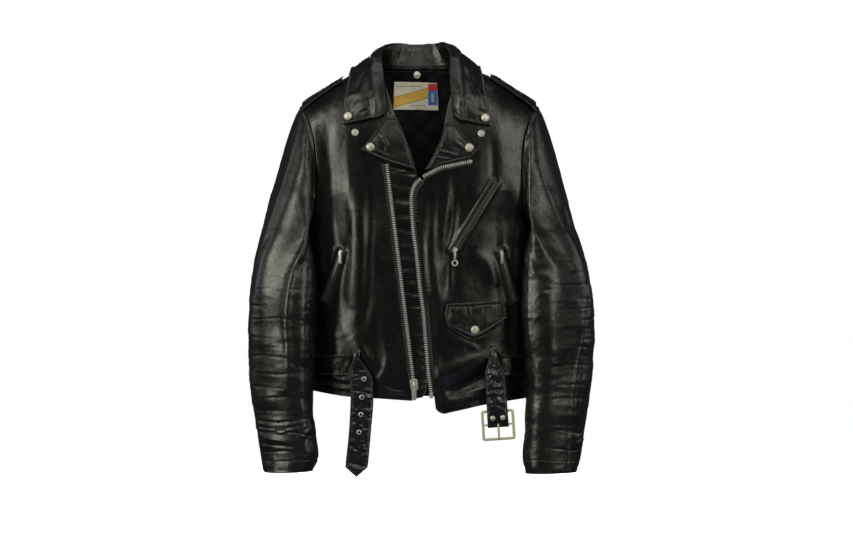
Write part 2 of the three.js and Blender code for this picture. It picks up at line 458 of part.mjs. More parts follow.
// Straight zip with a saddle slider and a pull that hangs from it.
// a, b: ends of the teeth on the surface (the slider rests at a).
const hinges = {};
function zipUnit(name, surf, a, b, o) {
  const A = surf(a[0], a[1], 0).p, B = surf(b[0], b[1], 0).p, w = B.clone().sub(A).normalize();
  const n = surf((a[0] + b[0]) / 2, (a[1] + b[1]) / 2, 0).n.clone();
  n.addScaledVector(w, -n.dot(w)).normalize();
  const s = V().crossVectors(n, w), len = A.distanceTo(B), hw = o.teethW / 2 + 0.4 + o.wall;
  let lift = o.lift;
  if (lift === undefined) {
    lift = -9;
    for (let k = 0; k <= 20; k++) for (const c of [-hw, 0, hw]) {
      const p = A.clone().addScaledVector(w, len * k / 20).addScaledVector(s, c), q = surf(p.x, p.z, 0);
      lift = Math.max(lift, q.p.clone().sub(p).dot(q.n) / q.n.dot(n) + 0.8);
    }
  }
  const M = new THREE.Matrix4().makeBasis(w, s, n).setPosition(A); // local: x along the teeth, y across, z out
  const place = (g) => g.applyMatrix4(M);
  add(name + (o.chainName || '_zip_teeth'), place(box(0, len, -o.teethW / 2, o.teethW / 2, lift, lift + o.teethT)), teethMat);
  const t0 = lift + o.teethT + 0.4, t1 = t0 + 1.3, x0 = 1.5, x1 = x0 + o.sliderL;
  const body = cut(box(x0, x1, -hw, hw, lift, t1), box(x0 - 1, x1 + 1, -o.teethW / 2 - 0.4, o.teethW / 2 + 0.4, lift - 1, t0));
  add(name + '_zip_slider', place(body), metal);
  // the pull hangs straight down from the slider's face
  const top = A.clone().addScaledVector(w, x0 + o.sliderL * 0.4).addScaledVector(n, t1);
  const h = V().crossVectors(V(0, 0, 1), n).normalize(), f = V().crossVectors(h, V(0, 0, 1)).normalize(); // across, forward
  if (f.dot(n) < 0) { f.negate(); }
  const y = 0.9, T = 1.5;
  const r = o.pullW / 2, g = plate([[-r * 0.55, 0.6], [r * 0.55, 0.6], [r, -o.pullL * 0.3], [r, -o.pullL], [-r, -o.pullL], [-r, -o.pullL * 0.3]], -T, 0,
    o.ring ? [circle(0, -o.pullL + r + 0.2, r * 0.55, 10)] : []);
  const Pm = new THREE.Matrix4().makeBasis(h, f.clone().negate(), V(0, 0, 1)).setPosition(top.clone().addScaledVector(f, y));
  if (Pm.determinant() < 0) Pm.makeBasis(h.clone().negate(), f.clone().negate(), V(0, 0, 1)).setPosition(top.clone().addScaledVector(f, y));
  add(name + '_zip_pull', g.applyMatrix4(Pm), metal);
  hinges[name] = { slide: w, travel: len - 1.5 - x1, pull: top.clone().addScaledVector(f, y + T * 0.42), axis: h, out: f };
  return hinges[name];
}
const bodyFront = (x, z, off) => ({ p: onBody(-1, x, z, off), n: bodyNormal(-1, x, z) });
const small = { teethW: SMALL_TEETH_W, teethT: SMALL_TEETH_T, wall: 1.2, sliderL: 9, pullW: 6, pullL: 20 };
zipUnit('main', bodyFront, MAIN_A, MAIN_B, { teethW: TEETH_W, teethT: TEETH_T, wall: 3.4, sliderL: 20, pullW: 9, pullL: 26, lift: -0.8, chainName: '_zip_right_stringer' });
zipUnit('chest', bodyFront, [61, -311], [139, -184], { ...small, pullW: 12, pullL: 30, ring: true });
zipUnit('left_hand', bodyFront, [146, -306], [174, -400], small);
zipUnit('right_hand', bodyFront, [-138, -306], [-172, -400], small);

// cuff zips on the back of the sleeves: a flat run above the tube's back line
for (const s of [1, -1]) {
  const side = s > 0 ? 'left' : 'right', P = sleeveGrid(s, s > 0 ? tubeRowsLeft : tubeRowsRight, 16), k = 13, m = P[0].length - 1;
  const lo = P[k][m], hi = P[k][m - 3], N = gridNormals(P, true);
  if (N[4][8].y > 0) N.forEach((c) => c.forEach((v) => v.negate()));
  const nb = N[k][m - 1].clone();
  const surf = (x, z) => {
    const t = (z - lo.z) / (hi.z - lo.z), p = lo.clone().lerp(hi, t);
    return { p: p.addScaledVector(nb, 1.6), n: nb };
  };
  zipUnit(side + '_cuff', surf, [0, lo.z + 21], [0, lo.z + 127], { ...small, lift: 1.0 });
}

// ---------------------------------------------------------------- pocket bags (inside)
add('chest_pocket_bag', bodyPatch(-1, [[62, -314], [150, -314]], [[70, -215], [146, -180]], [[62, -314], [64, -280], [70, -215]], [[150, -314], [152, -250], [146, -180]], 5, 6, -5, -7.2), liningMat);
add('left_hand_pocket_bag', bodyPatch(-1, [[96, -470], [172, -456]], [[110, -348], [168, -324]], [[96, -470], [98, -400], [110, -348]], [[172, -456], [176, -400], [168, -324]], 5, 6, -5, -7.2), liningMat);
add('right_hand_pocket_bag', bodyPatch(-1, [[-172, -456], [-96, -470]], [[-168, -318], [-110, -345]], [[-172, -456], [-176, -400], [-168, -318]], [[-96, -470], [-98, -400], [-110, -345]], 5, 6, -5, -7.2), liningMat);

// ---------------------------------------------------------------- coin pocket, flap and snap
add('coin_pocket', bodyPatch(-1, [[53, -447], [100, -470], [153, -436]], [[52, -409], [145, -404]], [[53, -447], [52, -409]], [[153, -436], [145, -404]], 6, 3, 3.2, 1.4), leather);
add('coin_pocket_flap', bodyPatch(-1, [[49, -441], [99, -464], [158, -427]], [[50, -403], [146, -398]], [[49, -441], [50, -403]], [[158, -427], [146, -398]], 6, 3, 6.9, 4.6), leather);
const flapLift = 8.1;
add('coin_flap_snap', button(onBody(-1, 100, -450, flapLift), bodyNormal(-1, 100, -450), capProfile(CAP_R, 3.4)), metal);

// ---------------------------------------------------------------- snaps
const snap = (name, x, z, off, r, h) => add(name, button(onBody(-1, x, z, off), bodyNormal(-1, x, z), capProfile(r, h)), metal);
snap('right_lapel_snap', -87, -121, 7.6, CAP_R, 3.2);
snap('left_lapel_snap', 90, -122, 7.6, CAP_R, 3.2);
snap('right_body_stud', -115, -94, 1.2, STUD_R, 3);
snap('left_body_stud', 112, -96, 1.2, STUD_R, 3);
for (const [name, x, z] of [['right_collar_snap', -126, -67], ['left_collar_snap', 118, -70]]) {
  const p = onBody(-1, x, z, 13.2);
  add(name, button(p, bodyNormal(-1, x, z), capProfile(CAP_R, 3.2)), metal);
}
// neck snap on the inside of the back neck: its flat face is turned to the front
{
  const y = depth(1, 4, 17) - 14.5;
  const g = new THREE.LatheGeometry([[0, 0], [STUD_R, 0], [STUD_R, 1.2], [4.2, 2.2], [4.2, 4], [0, 4]].map(([r, h]) => new THREE.Vector2(r, h)), 16);
  g.rotateX(Math.PI); // axis to -Y
  g.translate(-4, y, 15);
  add('neck_snap', g, metal);
  hinges.neckSnap = { at: V(-4, y - 4, 15) };
}
add('neck_label', bodyPatch(1, [[-47, -50], [36, -52]], [[-48, 2], [35, -1]], [[-47, -50], [-48, 2]], [[36, -52], [35, -1]], 5, 5, -16, -17), labelMat);

// ---------------------------------------------------------------- belt round the back and its loops
{
  const a0 = 239.5, a1 = -49.5, n = 34, P = [], N = []; // angles from the right front loop to the left front loop
  for (let k = 0; k <= n; k++) {
    const deg = a0 + (a1 - a0) * k / n, p = [BELT_Z0, BELT_Z1].map((z) => ringPoint((deg + 360) % 360, z, 0));
    P.push(p);
    N.push([BELT_Z0, BELT_Z1].map((z) => ringPoint((deg + 360) % 360, z, 1).sub(ringPoint((deg + 360) % 360, z, 0))));
  }
  add('belt_back', sheet(P, N, 4.4, 2), leather);
}
for (const [name, side, x, tilt] of [['right_front_belt_loop', -1, -113, 0], ['left_front_belt_loop', -1, 135, 0], ['right_back_belt_loop', 1, -115, 0], ['left_back_belt_loop', 1, 115, 0]]) {
  const prof = [[-551, 0.9], [-543, 0.9], [-538.5, 5.4], [-514, 5.4], [-489.5, 5.4], [-485, 0.9], [-477, 0.9]];
  const P = [], N = [];
  for (const dx of [-6, 6]) {
    const base = onBody(side, x, -514), n = bodyNormal(side, x, -514), t = V().crossVectors(n, V(0, 0, 1)).normalize();
    n.z = 0; n.normalize();
    P.push(prof.map(([z, off]) => { const p = base.clone().addScaledVector(t, dx).addScaledVector(n, off + 0.5); p.z = z; return p; }));
  }
  const G = gridNormals(P), want = bodyNormal(side, x, -514);
  if (G[0][3].dot(want) < 0) G.forEach((c) => c.forEach((m) => m.negate()));
  add(name, sheet(P, G, 2, 0), leather);
}
// belt tail hanging from the right front loop
const TAIL_Y = -depth(-1, 84, -520) - 8.6;
add('belt_tail', plate([[-118, -500], [-122, -513], [-123, -569], [-126, -630], [-133, -697], [-117, -715], [-92, -697], [-86, -630], [-82, -569], [-83, -540], [-107, -498]], TAIL_Y - 2.6, TAIL_Y), leather);

// buckle strap, frame, prong and rivets, built round the buckle's centre bar (local x along the bar)
{
  const grp = new THREE.Group();
  grp.position.set(142.5, -depth(-1, 118, -520) - 13.2, -620);
  grp.rotation.y = -3.8 * Math.PI / 180;
  jacket.add(grp);
  const put = (name, g, m) => { const mesh = new THREE.Mesh(g, m); mesh.name = name; grp.add(mesh); };
  const S = 19, T = 2.2, r0 = 2.9, seg = 6;
  // strap side profile [y, z], front layer up to the loop, short layer back up behind the bar
  const outer = [], inner = [];
  for (let k = 0; k <= seg; k++) { const a = Math.PI * k / seg; outer.push([-(r0 + T) * Math.cos(a), -(r0 + T) * Math.sin(a)]); inner.push([-r0 * Math.cos(a), -r0 * Math.sin(a)]); }
  const prof = [[-(r0 + T), 122], ...outer, [r0 + T, 19], [r0, 19], ...inner.reverse(), [-r0, 122]];
  const shape = new THREE.Shape(prof.map(([y, z]) => new THREE.Vector2(y, z)));
  let strap = new THREE.ExtrudeGeometry(shape, { depth: 2 * S, bevelEnabled: false });
  strap.applyMatrix4(new THREE.Matrix4().makeBasis(V(0, 1, 0), V(0, 0, 1), V(1, 0, 0)));
  strap.translate(-S, 0, 0);
  // narrow top where the strap leaves its loop, and the slot for the prong
  strap = cut(strap, plate([[-30, 130], [-12, 130], [-19.5, 90], [-30, 90]], -9, 9), plate([[30, 130], [2, 130], [19.5, 94], [30, 90]], -9, 9), box(-3.4, 3.4, -9, 9, -9, 7.7));
  put('belt_buckle_strap', strap, leather);
  const W = 30, H0 = -28.5, H1 = 26.5, bar = 6;
  put('buckle_frame', cut(box(-W, W, -1.6, 1.6, H0, H1), box(-W + bar, W - bar, -3, 3, 1.4, H1 - 5), box(-W + bar, W - bar, -3, 3, H0 + 6.5, -1.4)), brassy);
  // prong: a hook round the bar and a tongue resting on the lower bar
  const hook = plate([[-2.2, 4.6], [2.2, 4.6], [2.2, -26], [0, -27.5], [-2.2, -26]], -4.7, -2.2);
  const back = box(-2.2, 2.2, 2.2, 4.4, -4.6, 4.6), lid = box(-2.2, 2.2, -4.7, 4.4, 2.3, 4.6);
  put('buckle_prong', join(hook, back, lid), metal);
  for (const [name, x] of [['buckle_rivet_inner', -9], ['buckle_rivet_outer', 9]]) {
    const g = new THREE.LatheGeometry(capProfile(4.6, 2).map(([r, h]) => new THREE.Vector2(r, h)), 12);
    g.rotateX(Math.PI);
    g.translate(x, -(r0 + T) - 0.35, 12);
    put(name, g, metal);
  }
}

export default jacket;
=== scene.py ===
import bpy, bmesh, math
import numpy as np
from mathutils import Vector, Matrix


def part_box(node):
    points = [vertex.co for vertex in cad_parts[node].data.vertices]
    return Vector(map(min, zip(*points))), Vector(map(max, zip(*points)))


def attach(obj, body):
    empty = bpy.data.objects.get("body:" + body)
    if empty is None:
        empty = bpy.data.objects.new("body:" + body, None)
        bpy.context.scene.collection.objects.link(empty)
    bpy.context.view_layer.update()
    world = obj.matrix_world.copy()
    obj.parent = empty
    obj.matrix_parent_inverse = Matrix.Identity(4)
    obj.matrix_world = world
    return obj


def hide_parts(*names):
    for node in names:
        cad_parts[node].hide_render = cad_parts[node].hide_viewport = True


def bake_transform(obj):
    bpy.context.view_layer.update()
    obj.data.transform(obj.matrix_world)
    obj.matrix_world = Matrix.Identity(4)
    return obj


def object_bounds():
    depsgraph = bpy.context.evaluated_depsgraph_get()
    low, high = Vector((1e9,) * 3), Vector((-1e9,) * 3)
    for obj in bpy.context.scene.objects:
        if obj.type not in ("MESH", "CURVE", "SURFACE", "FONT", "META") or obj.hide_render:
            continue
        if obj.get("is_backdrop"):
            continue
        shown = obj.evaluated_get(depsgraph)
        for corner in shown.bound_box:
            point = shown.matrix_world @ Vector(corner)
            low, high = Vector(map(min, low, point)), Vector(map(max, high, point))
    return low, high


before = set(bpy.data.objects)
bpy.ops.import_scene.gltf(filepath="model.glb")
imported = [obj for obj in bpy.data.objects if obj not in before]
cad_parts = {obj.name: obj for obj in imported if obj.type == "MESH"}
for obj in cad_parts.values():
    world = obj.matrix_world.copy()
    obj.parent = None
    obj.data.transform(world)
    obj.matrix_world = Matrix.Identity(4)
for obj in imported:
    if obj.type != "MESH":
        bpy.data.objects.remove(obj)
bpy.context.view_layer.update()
MM = 0.001
scene = bpy.context.scene

# ===================================================================== camera
cam_data = bpy.data.cameras.new("camera")
cam = bpy.data.objects.new("camera", cam_data)
scene.collection.objects.link(cam)
cam.location = (0.0135, -6.0, -0.3519)
cam.rotation_euler = (math.radians(90), 0, 0)
cam_data.sensor_width = 36
cam_data.lens = 139.1
cam_data.clip_end = 60
scene.camera = cam

# =====================================================================  numpy helpers (millimetres)
def track(rows):
    a = np.array(rows, float); k, v = a[:, 0], a[:, 1:]
    h = np.diff(k)[:, None]; d = np.diff(v, axis=0) / h
    s = np.empty_like(v); s[0], s[-1] = d[0], d[-1]
    s[1:-1] = (d[:-1] * h[1:] + d[1:] * h[:-1]) / (h[:-1] + h[1:])
    def f(q):
        q = np.clip(np.asarray(q, float), k[0], k[-1]); shape = q.shape; q = q.ravel()
        i = np.clip(np.searchsorted(k, q, side="right") - 1, 0, len(k) - 2)
        hh = (k[i + 1] - k[i]); t = ((q - k[i]) / hh)[:, None]; hh = hh[:, None]; t2, t3 = t * t, t * t * t
        o = (2 * t3 - 3 * t2 + 1) * v[i] + (t3 - 2 * t2 + t) * hh * s[i] + (-2 * t3 + 3 * t2) * v[i + 1] + (t3 - t2) * hh * s[i + 1]
        return o.reshape(shape) if v.shape[1] == 1 else o.reshape(shape + (v.shape[1],))
    return f

def curve(points):
    p = np.array(points, float); d = np.r_[0, np.cumsum(np.linalg.norm(np.diff(p, axis=0), axis=1))]
    f = track(np.c_[d, p])
    g = lambda t: f(np.asarray(t) * d[-1])
    g.length = d[-1]
    return g

def smooth(a, b, x):
    t = np.clip((x - a) / (b - a), 0, 1); return t * t * (3 - 2 * t)

def unit(v): return v / np.maximum(np.linalg.norm(v, axis=-1, keepdims=True), 1e-9)

def hash3(i, j, k, seed):
    with np.errstate(over="ignore"):
        n = (i.astype(np.uint32) * np.uint32(374761393) + j.astype(np.uint32) * np.uint32(668265263) + k.astype(np.uint32) * np.uint32(2147483647) + np.uint32(seed * 7919 + 13))
        n = (n ^ (n >> np.uint32(13))) * np.uint32(1274126177); n = n ^ (n >> np.uint32(16))
    return (n & np.uint32(0xFFFF)).astype(float) / 32767.5 - 1.0

def vnoise(x, y, z=0.0, seed=0):
    x, y, z = np.broadcast_arrays(np.asarray(x, float), np.asarray(y, float), np.asarray(z, float))
    xi, yi, zi = np.floor(x), np.floor(y), np.floor(z); fx, fy, fz = x - xi, y - yi, z - zi
    fx, fy, fz = [t * t * t * (t * (t * 6 - 15) + 10) for t in (fx, fy, fz)]
    xi, yi, zi = xi.astype(np.int64), yi.astype(np.int64), zi.astype(np.int64); out = 0
    for a in (0, 1):
        for b in (0, 1):
            for c in (0, 1):
                w = (fx if a else 1 - fx) * (fy if b else 1 - fy) * (fz if c else 1 - fz)
                out = out + w * hash3(xi + a, yi + b, zi + c, seed)
    return out

def fbm(x, y, z=0.0, seed=0, octaves=3, gain=0.5):
    o, a = 0, 1.0
    for k in range(octaves):
        o = o + a * vnoise(np.asarray(x) * 2 ** k, np.asarray(y) * 2 ** k, np.asarray(z) * 2 ** k, seed + 31 * k); a *= gain
    return o

def stroke(X, Y, pts, w, h, kind="ridge", ends=0.5):
    """Displacement of one fold line. kind ridge: rounded; crease: sharp valley with lips."""
    p = np.array(pts, float); best = np.full(X.shape, 1e9); bt = np.zeros(X.shape)
    seg = np.linalg.norm(np.diff(p, axis=0), axis=1); tot = seg.sum(); acc = 0
    for a, b, L in zip(p[:-1], p[1:], seg):
        d = b - a; t = np.clip(((X - a[0]) * d[0] + (Y - a[1]) * d[1]) / (L * L), 0, 1)
        dd = np.hypot(X - a[0] - t * d[0], Y - a[1] - t * d[1]); m = dd < best
        best = np.where(m, dd, best); bt = np.where(m, (acc + t * L) / tot, bt); acc += L
    q = (best / w) ** 2
    taper = np.clip(np.sin(np.pi * np.clip(bt, 0.001, 0.999)), 0, 1) ** ends
    f = np.exp(-q) if kind == "ridge" else np.exp(-q) * (1 - 1.3 * q)
    return h * f * taper

def px(pts):  # photo-plane grid used while designing -> mm on the front plane
    return [((a - 419) * 1.8, (80 - b) * 1.8) for a, b in pts]

# ---------------------------------------------------------------- body surface, as in the CAD
SIDE_X, ARM_W, ARMPIT_Z, TIP_X, TIP_Z, NECK_X, NECK_Z, ROLL_Z0 = 208, 27, -262, 213, -42, 74, 33, -120
SN, RM = 2.5, 2.2
shoulder_z = track([[0, 80], [35, 68], [60, 45], [75, 32], [100, 22], [135, 8], [175, -17], [200, -33], [215, -43], [240, -61]])
half_w = lambda z: SIDE_X + ARM_W * smooth(ARMPIT_Z, -200, z)
def side_depth(side, z):
    t = np.clip((np.asarray(z, float) + 600) / 400, 0, 1)
    return 62 + 6 * t if side < 0 else 57 + 5 * t
def depth(side, x, z):
    a = np.abs(x); w = half_w(z); top = shoulder_z(a)
    q = np.clip(a / w, 0, 1); r = np.clip((z - ROLL_Z0) / (top - ROLL_Z0), 0, 1)
    return side_depth(side, z) * (1 - q ** SN) ** (1 / SN) * (1 - r ** RM) ** (1 / RM)
def body_normal(side, x, z):
    h = 0.8
    dx = (depth(side, x + h, z) - depth(side, x - h, z)) / (2 * h); dz = (depth(side, x, z + h) - depth(side, x, z - h)) / (2 * h)
    return unit(np.stack([-dx, np.full_like(dx, side), -dz], -1))
def on_body(side, x, z, off=0.0):
    x, z = np.broadcast_arrays(np.asarray(x, float), np.asarray(z, float))
    n = body_normal(side, x, z)
    return np.stack([x, side * depth(side, x, z), z], -1) + n * np.asarray(off)[..., None], n
def top_z(x, y):
    a = np.abs(x); d = np.where(y < 0, 68, 62) * (1 - (a / (SIDE_X + ARM_W)) ** SN) ** (1 / SN)
    return ROLL_Z0 + (shoulder_z(a) - ROLL_Z0) * (1 - np.clip(np.abs(y) / d, 0, 1) ** RM) ** (1 / RM)
arm_front = track([[-262, 208], [-256, 201], [-245, 193.5], [-225, 188], [-200, 186], [-170, 185.5], [-140, 186], [-105, 190], [-76, 198], [-56, 206], [-42, 213]])
arm_back = track([[-262, 208], [-256, 203], [-245, 199.5], [-225, 196.5], [-200, 194.5], [-170, 193.5], [-140, 193.5], [-105, 196], [-76, 202], [-56, 208], [-42, 213]])
MAIN_A, MAIN_B = (-7.5, -560), (-58, -151)
stringer_x = lambda z: MAIN_A[0] + (z - MAIN_A[1]) * (MAIN_B[0] - MAIN_A[0]) / (MAIN_B[1] - MAIN_A[1])

# =====================================================================  mesh builders
def new_object(name, verts_mm, faces, mat, smooth_angle=None):
    me = bpy.data.meshes.new(name)
    v = np.asarray(verts_mm, float) * MM
    if isinstance(faces, np.ndarray):
        n = faces.shape[1]
        me.vertices.add(len(v)); me.vertices.foreach_set("co", v.ravel())
        me.loops.add(faces.size); me.loops.foreach_set("vertex_index", faces.ravel().astype(np.int32))
        me.polygons.add(len(faces)); me.polygons.foreach_set("loop_start", (np.arange(len(faces)) * n).astype(np.int32))
        me.update(calc_edges=True); me.validate()
    else:
        me.from_pydata([tuple(q) for q in v], [], faces)
    me.shade_smooth()
    if smooth_angle is not None:
        me.set_sharp_from_angle(angle=math.radians(smooth_angle))
    ob = bpy.data.objects.new(name, me); scene.collection.objects.link(ob)
    me.materials.append(mat)
    return ob

def grid_normals(P, wrap=False, ref=None):
    if wrap:
        du = np.roll(P, -1, 0) - np.roll(P, 1, 0)
    else:
        du = np.gradient(P, axis=0)
    dv = np.gradient(P, axis=1)
    N = unit(np.cross(du, dv))
    if ref is not None and (N * ref).sum(-1).mean() < 0: N = -N
    return N

def edge_dist(P, wrap=False):
    nu, nv = P.shape[:2]
    def along(ax):
        d = np.linalg.norm(np.diff(P, axis=ax), axis=-1); z = np.zeros((1, nv) if ax == 0 else (nu, 1))
        c = np.concatenate([z, np.cumsum(d, axis=ax)], ax); tot = c[-1:, :] if ax == 0 else c[:, -1:]
        return np.minimum(c, tot - c)
    return along(1) if wrap else np.minimum(along(0), along(1))

def sheet_mesh(name, P, N, T, mat, wrap=False, mid=0.0, edge_r=1.3, keep=None):
    """Closed sheet of thickness T round the surface P + mid*N, with rounded edges. P is (nu, nv, 3)."""
    nu, nv = P.shape[:2]
    d = np.clip(edge_dist(P, wrap) / edge_r, 0, 1); half = T / 2 * np.sqrt(np.clip(1 - (1 - d) ** 2, 0, 1))
    o = P + N * (mid + half)[..., None]; i = P + N * (mid - half)[..., None]
    idx = np.arange(nu * nv).reshape(nu, nv); inner = idx.copy()
    inside = np.zeros((nu, nv), bool)
    if wrap: inside[:, 1:-1] = True
    else: inside[1:-1, 1:-1] = True
    inner[inside] = nu * nv + np.arange(inside.sum())
    verts = np.concatenate([o.reshape(-1, 3), i[inside]])
    def quads(I):
        J = np.concatenate([I, I[:1]], 0) if wrap else I
        return np.stack([J[:-1, :-1], J[1:, :-1], J[1:, 1:], J[:-1, 1:]], -1).reshape(-1, 4)
    a, b = quads(idx), quads(inner)[:, ::-1]
    # orientation
    c = o[nu // 2, nv // 2]; q = np.cross(o[(nu // 2 + 1) % nu, nv // 2] - c, o[nu // 2, nv // 2 + 1] - c)
    if np.dot(q, N[nu // 2, nv // 2]) < 0: a, b = a[:, ::-1], b[:, ::-1]
    return new_object(name, verts, np.concatenate([a, b]), mat)

def dense(n, length, r=1.3, f=lambda t: t):
    """0..1 samples, uniform (through f) with a few extra close to both ends."""
    e = np.array([0, 0.15, 0.5, 1.0]) * r / max(length, 1e-6)
    t = f(np.linspace(0, 1, n + 1)); t = t[(t > e[-1] * 1.4) & (t < 1 - e[-1] * 1.4)]
    return np.concatenate([e, t, (1 - e)[::-1]])

def coons(B, T, L, R, us, vs):
    """B,T,L,R functions of 0..1 giving [..., 2]; returns (nu, nv, 2)."""
    u, v = us[:, None, None], vs[None, :, None]
    b, t, l, r = B(us)[:, None], T(us)[:, None], L(vs)[None], R(vs)[None]
    return (1 - v) * b + v * t + (1 - u) * l + u * r - ((1 - u) * (1 - v) * B(0.0) + u * (1 - v) * B(1.0) + (1 - u) * v * T(0.0) + u * v * T(1.0))

class Bag:
    """Collects small solids into one mesh."""
    def __init__(self): self.v, self.f, self.n = [], [], 0
    def add(self, v, f):
        self.v.append(np.asarray(v, float)); self.f += [tuple(int(k) + self.n for k in q) for q in f]; self.n += len(v)
    def add_bm(self, bm, M=None):
        if M is not None: bm.transform(M)
        bm.verts.ensure_lookup_table(); bm.verts.index_update()
        self.add([v.co[:] for v in bm.verts], [[v.index for v in f.verts] for f in bm.faces]); bm.free()
    def make(self, name, mat, angle=None): return new_object(name, np.concatenate(self.v), self.f, mat, angle)

def bm_box(x0, x1, y0, y1, z0, z1, bevel=0.0, segs=2):
    bm = bmesh.new(); bmesh.ops.create_cube(bm, size=1)
    for v in bm.verts: v.co = Vector(((x0 + x1) / 2 + v.co.x * (x1 - x0), (y0 + y1) / 2 + v.co.y * (y1 - y0), (z0 + z1) / 2 + v.co.z * (z1 - z0)))
    if bevel: bmesh.ops.bevel(bm, geom=bm.edges[:], offset=bevel, segments=segs, profile=0.7, affect="EDGES")
    return bm

def bm_plate(outline, y0, y1, bevel=0.3, holes=()):
    """Flat plate with outline in [x, z] between y0 and y1."""
    bm = bmesh.new()
    if not holes:
        vs = [bm.verts.new((x, y0, z)) for x, z in outline]; bm.faces.new(vs)
        r = bmesh.ops.extrude_face_region(bm, geom=bm.faces[:])
        for v in [g for g in r["geom"] if isinstance(g, bmesh.types.BMVert)]: v.co.y = y1
    else:  # one hole with as many corners as the outline: a ring of quads
        h = holes[0]; n = len(outline)
        rings = [[bm.verts.new((x, y, z)) for x, z in loop] for y in (y0, y1) for loop in (outline, h)]
        for k in range(n):
            m = (k + 1) % n; a, b, c, d = rings
            bm.faces.new([a[k], a[m], b[m], b[k]]); bm.faces.new([c[m], c[k], d[k], d[m]])
            bm.faces.new([a[m], a[k], c[k], c[m]]); bm.faces.new([b[k], b[m], d[m], d[k]])
    bmesh.ops.recalc_face_normals(bm, faces=bm.faces[:])
    if bevel:
        ed = [e for e in bm.edges if len(e.link_faces) == 2 and e.calc_face_angle(0) > 0.6]
        bmesh.ops.bevel(bm, geom=ed, offset=bevel, segments=2, profile=0.7, affect="EDGES", clamp_overlap=True)
    return bm

def bm_lathe(profile, segs=28, closed=False):
    """Profile [(r, h)...] turned about +Z; r 0 at both ends, or closed for a ring."""
    bm = bmesh.new(); rings = []
    for r, h in profile:
        if r < 1e-6: rings.append([bm.verts.new((0, 0, h))])
        else: rings.append([bm.verts.new((r * math.cos(2 * math.pi * k / segs), r * math.sin(2 * math.pi * k / segs), h)) for k in range(segs)])
    pairs = list(zip(rings[:-1], rings[1:])) + ([(rings[-1], rings[0])] if closed else [])
    for a, b in pairs:
        for k in range(segs):
            m = (k + 1) % segs
            if len(a) == 1 and len(b) > 1: bm.faces.new([a[0], b[k], b[m]])
            elif len(b) == 1 and len(a) > 1: bm.faces.new([a[k], b[0], a[m]])
            elif len(a) > 1: bm.faces.new([a[k], b[k], b[m], a[m]])
    bmesh.ops.recalc_face_normals(bm, faces=bm.faces[:])
    return bm

def frame_at(p, n, u=(1, 0.01, 0.02)):
    z = Vector(n).normalized(); x = Vector(u); x = (x - z * x.dot(z)).normalized(); y = z.cross(x)
    return Matrix(((x.x, y.x, z.x, p[0]), (x.y, y.y, z.y, p[1]), (x.z, y.z, z.z, p[2]), (0, 0, 0, 1)))

def tube(bag, pts, r, segs=8, closed=False, caps=True):
    """Round tube along points (mm)."""
    p = np.asarray(pts, float); n = len(p)
    t = unit(np.gradient(p, axis=0)) if not closed else unit(np.roll(p, -1, 0) - np.roll(p, 1, 0))
    up = np.array([0.12, -0.9, 0.3]); V_ = []; a = unit(np.cross(t[0], up))
    for k in range(n):
        a = a - t[k] * np.dot(a, t[k]); a = a / np.linalg.norm(a); b = np.cross(t[k], a)
        rr = r[k] if hasattr(r, "__len__") else r
        for m in range(segs):
            g = 2 * math.pi * m / segs; V_.append(p[k] + rr * (math.cos(g) * a + math.sin(g) * b))
    F = []
    for k in range(n if closed else n - 1):
        for m in range(segs):
            q = (m + 1) % segs; k2 = (k + 1) % n
            F.append((k * segs + m, k * segs + q, k2 * segs + q, k2 * segs + m))
    if caps and not closed: F += [tuple(range(segs))[::-1], tuple(range((n - 1) * segs, n * segs))]
    bag.add(V_, F)

def stitches(bag, P, N, pitch=3.3, length=2.3, r=0.36, lift=0.12):
    """Thread stitches sunk along a path P with normals N (mm)."""
    P = np.asarray(P, float); N = np.asarray(N, float)
    d = np.r_[0, np.cumsum(np.linalg.norm(np.diff(P, axis=0), axis=1))]
    if d[-1] < pitch: return
    s = np.arange(pitch * 0.5, d[-1] - pitch * 0.4, pitch)
    at = lambda q, A: np.stack([np.interp(q, d, A[:, c]) for c in range(3)], -1)
    a, b, n = at(s - length / 2, P), at(s + length / 2, P), unit(at(s, N))
    t = unit(b - a); w = np.cross(n, t); c = (a + b) / 2 + n * lift; L = length / 2
    prof = [(-1.0, 0.35), (-0.55, 0.95), (0.0, 1.0), (0.55, 0.95), (1.0, 0.35)]; S = 6
    V_ = []
    for x, rr in prof:
        for k in range(S):
            g = 2 * math.pi * k / S
            V_.append(c + t * (x * L) + (w * math.cos(g) + n * (math.sin(g) * 0.8 - 0.25 * abs(x))) * (r * rr))
    V_ = np.stack(V_, 1)  # (count, 30, 3)
    base = []
    for k in range(len(prof) - 1):
        for m in range(S):
            q = (m + 1) % S; base.append((k * S + m, (k + 1) * S + m, (k + 1) * S + q, k * S + q))
    base += [tuple(range(S)), tuple(range((len(prof) - 1) * S, len(prof) * S))[::-1]]
    for v in V_: bag.add(v, base)

# =====================================================================  materials
def nodes_of(name):
    m = bpy.data.materials.new(name); m.use_nodes = True; nt = m.node_tree
    return m, nt, nt.nodes["Principled BSDF"]
def node(nt, kind, **kw):
    n = nt.nodes.new(kind)
    for k, v in kw.items():
        if k.startswith("i_"): n.inputs[k[2:].replace("_", " ")].default_value = v
        else: setattr(n, k, v)
    return n
def ramp(nt, src, stops):
    r = nt.nodes.new("ShaderNodeValToRGB"); el = r.color_ramp.elements
    while len(el) < len(stops): el.new(0.5)
    for e, (p, c) in zip(el, stops): e.position = p; e.color = (*c, 1) if len(c) == 3 else c
    nt.links.new(src, r.inputs[0]); return r.outputs[0]
def grey(v): return (v, v, v)

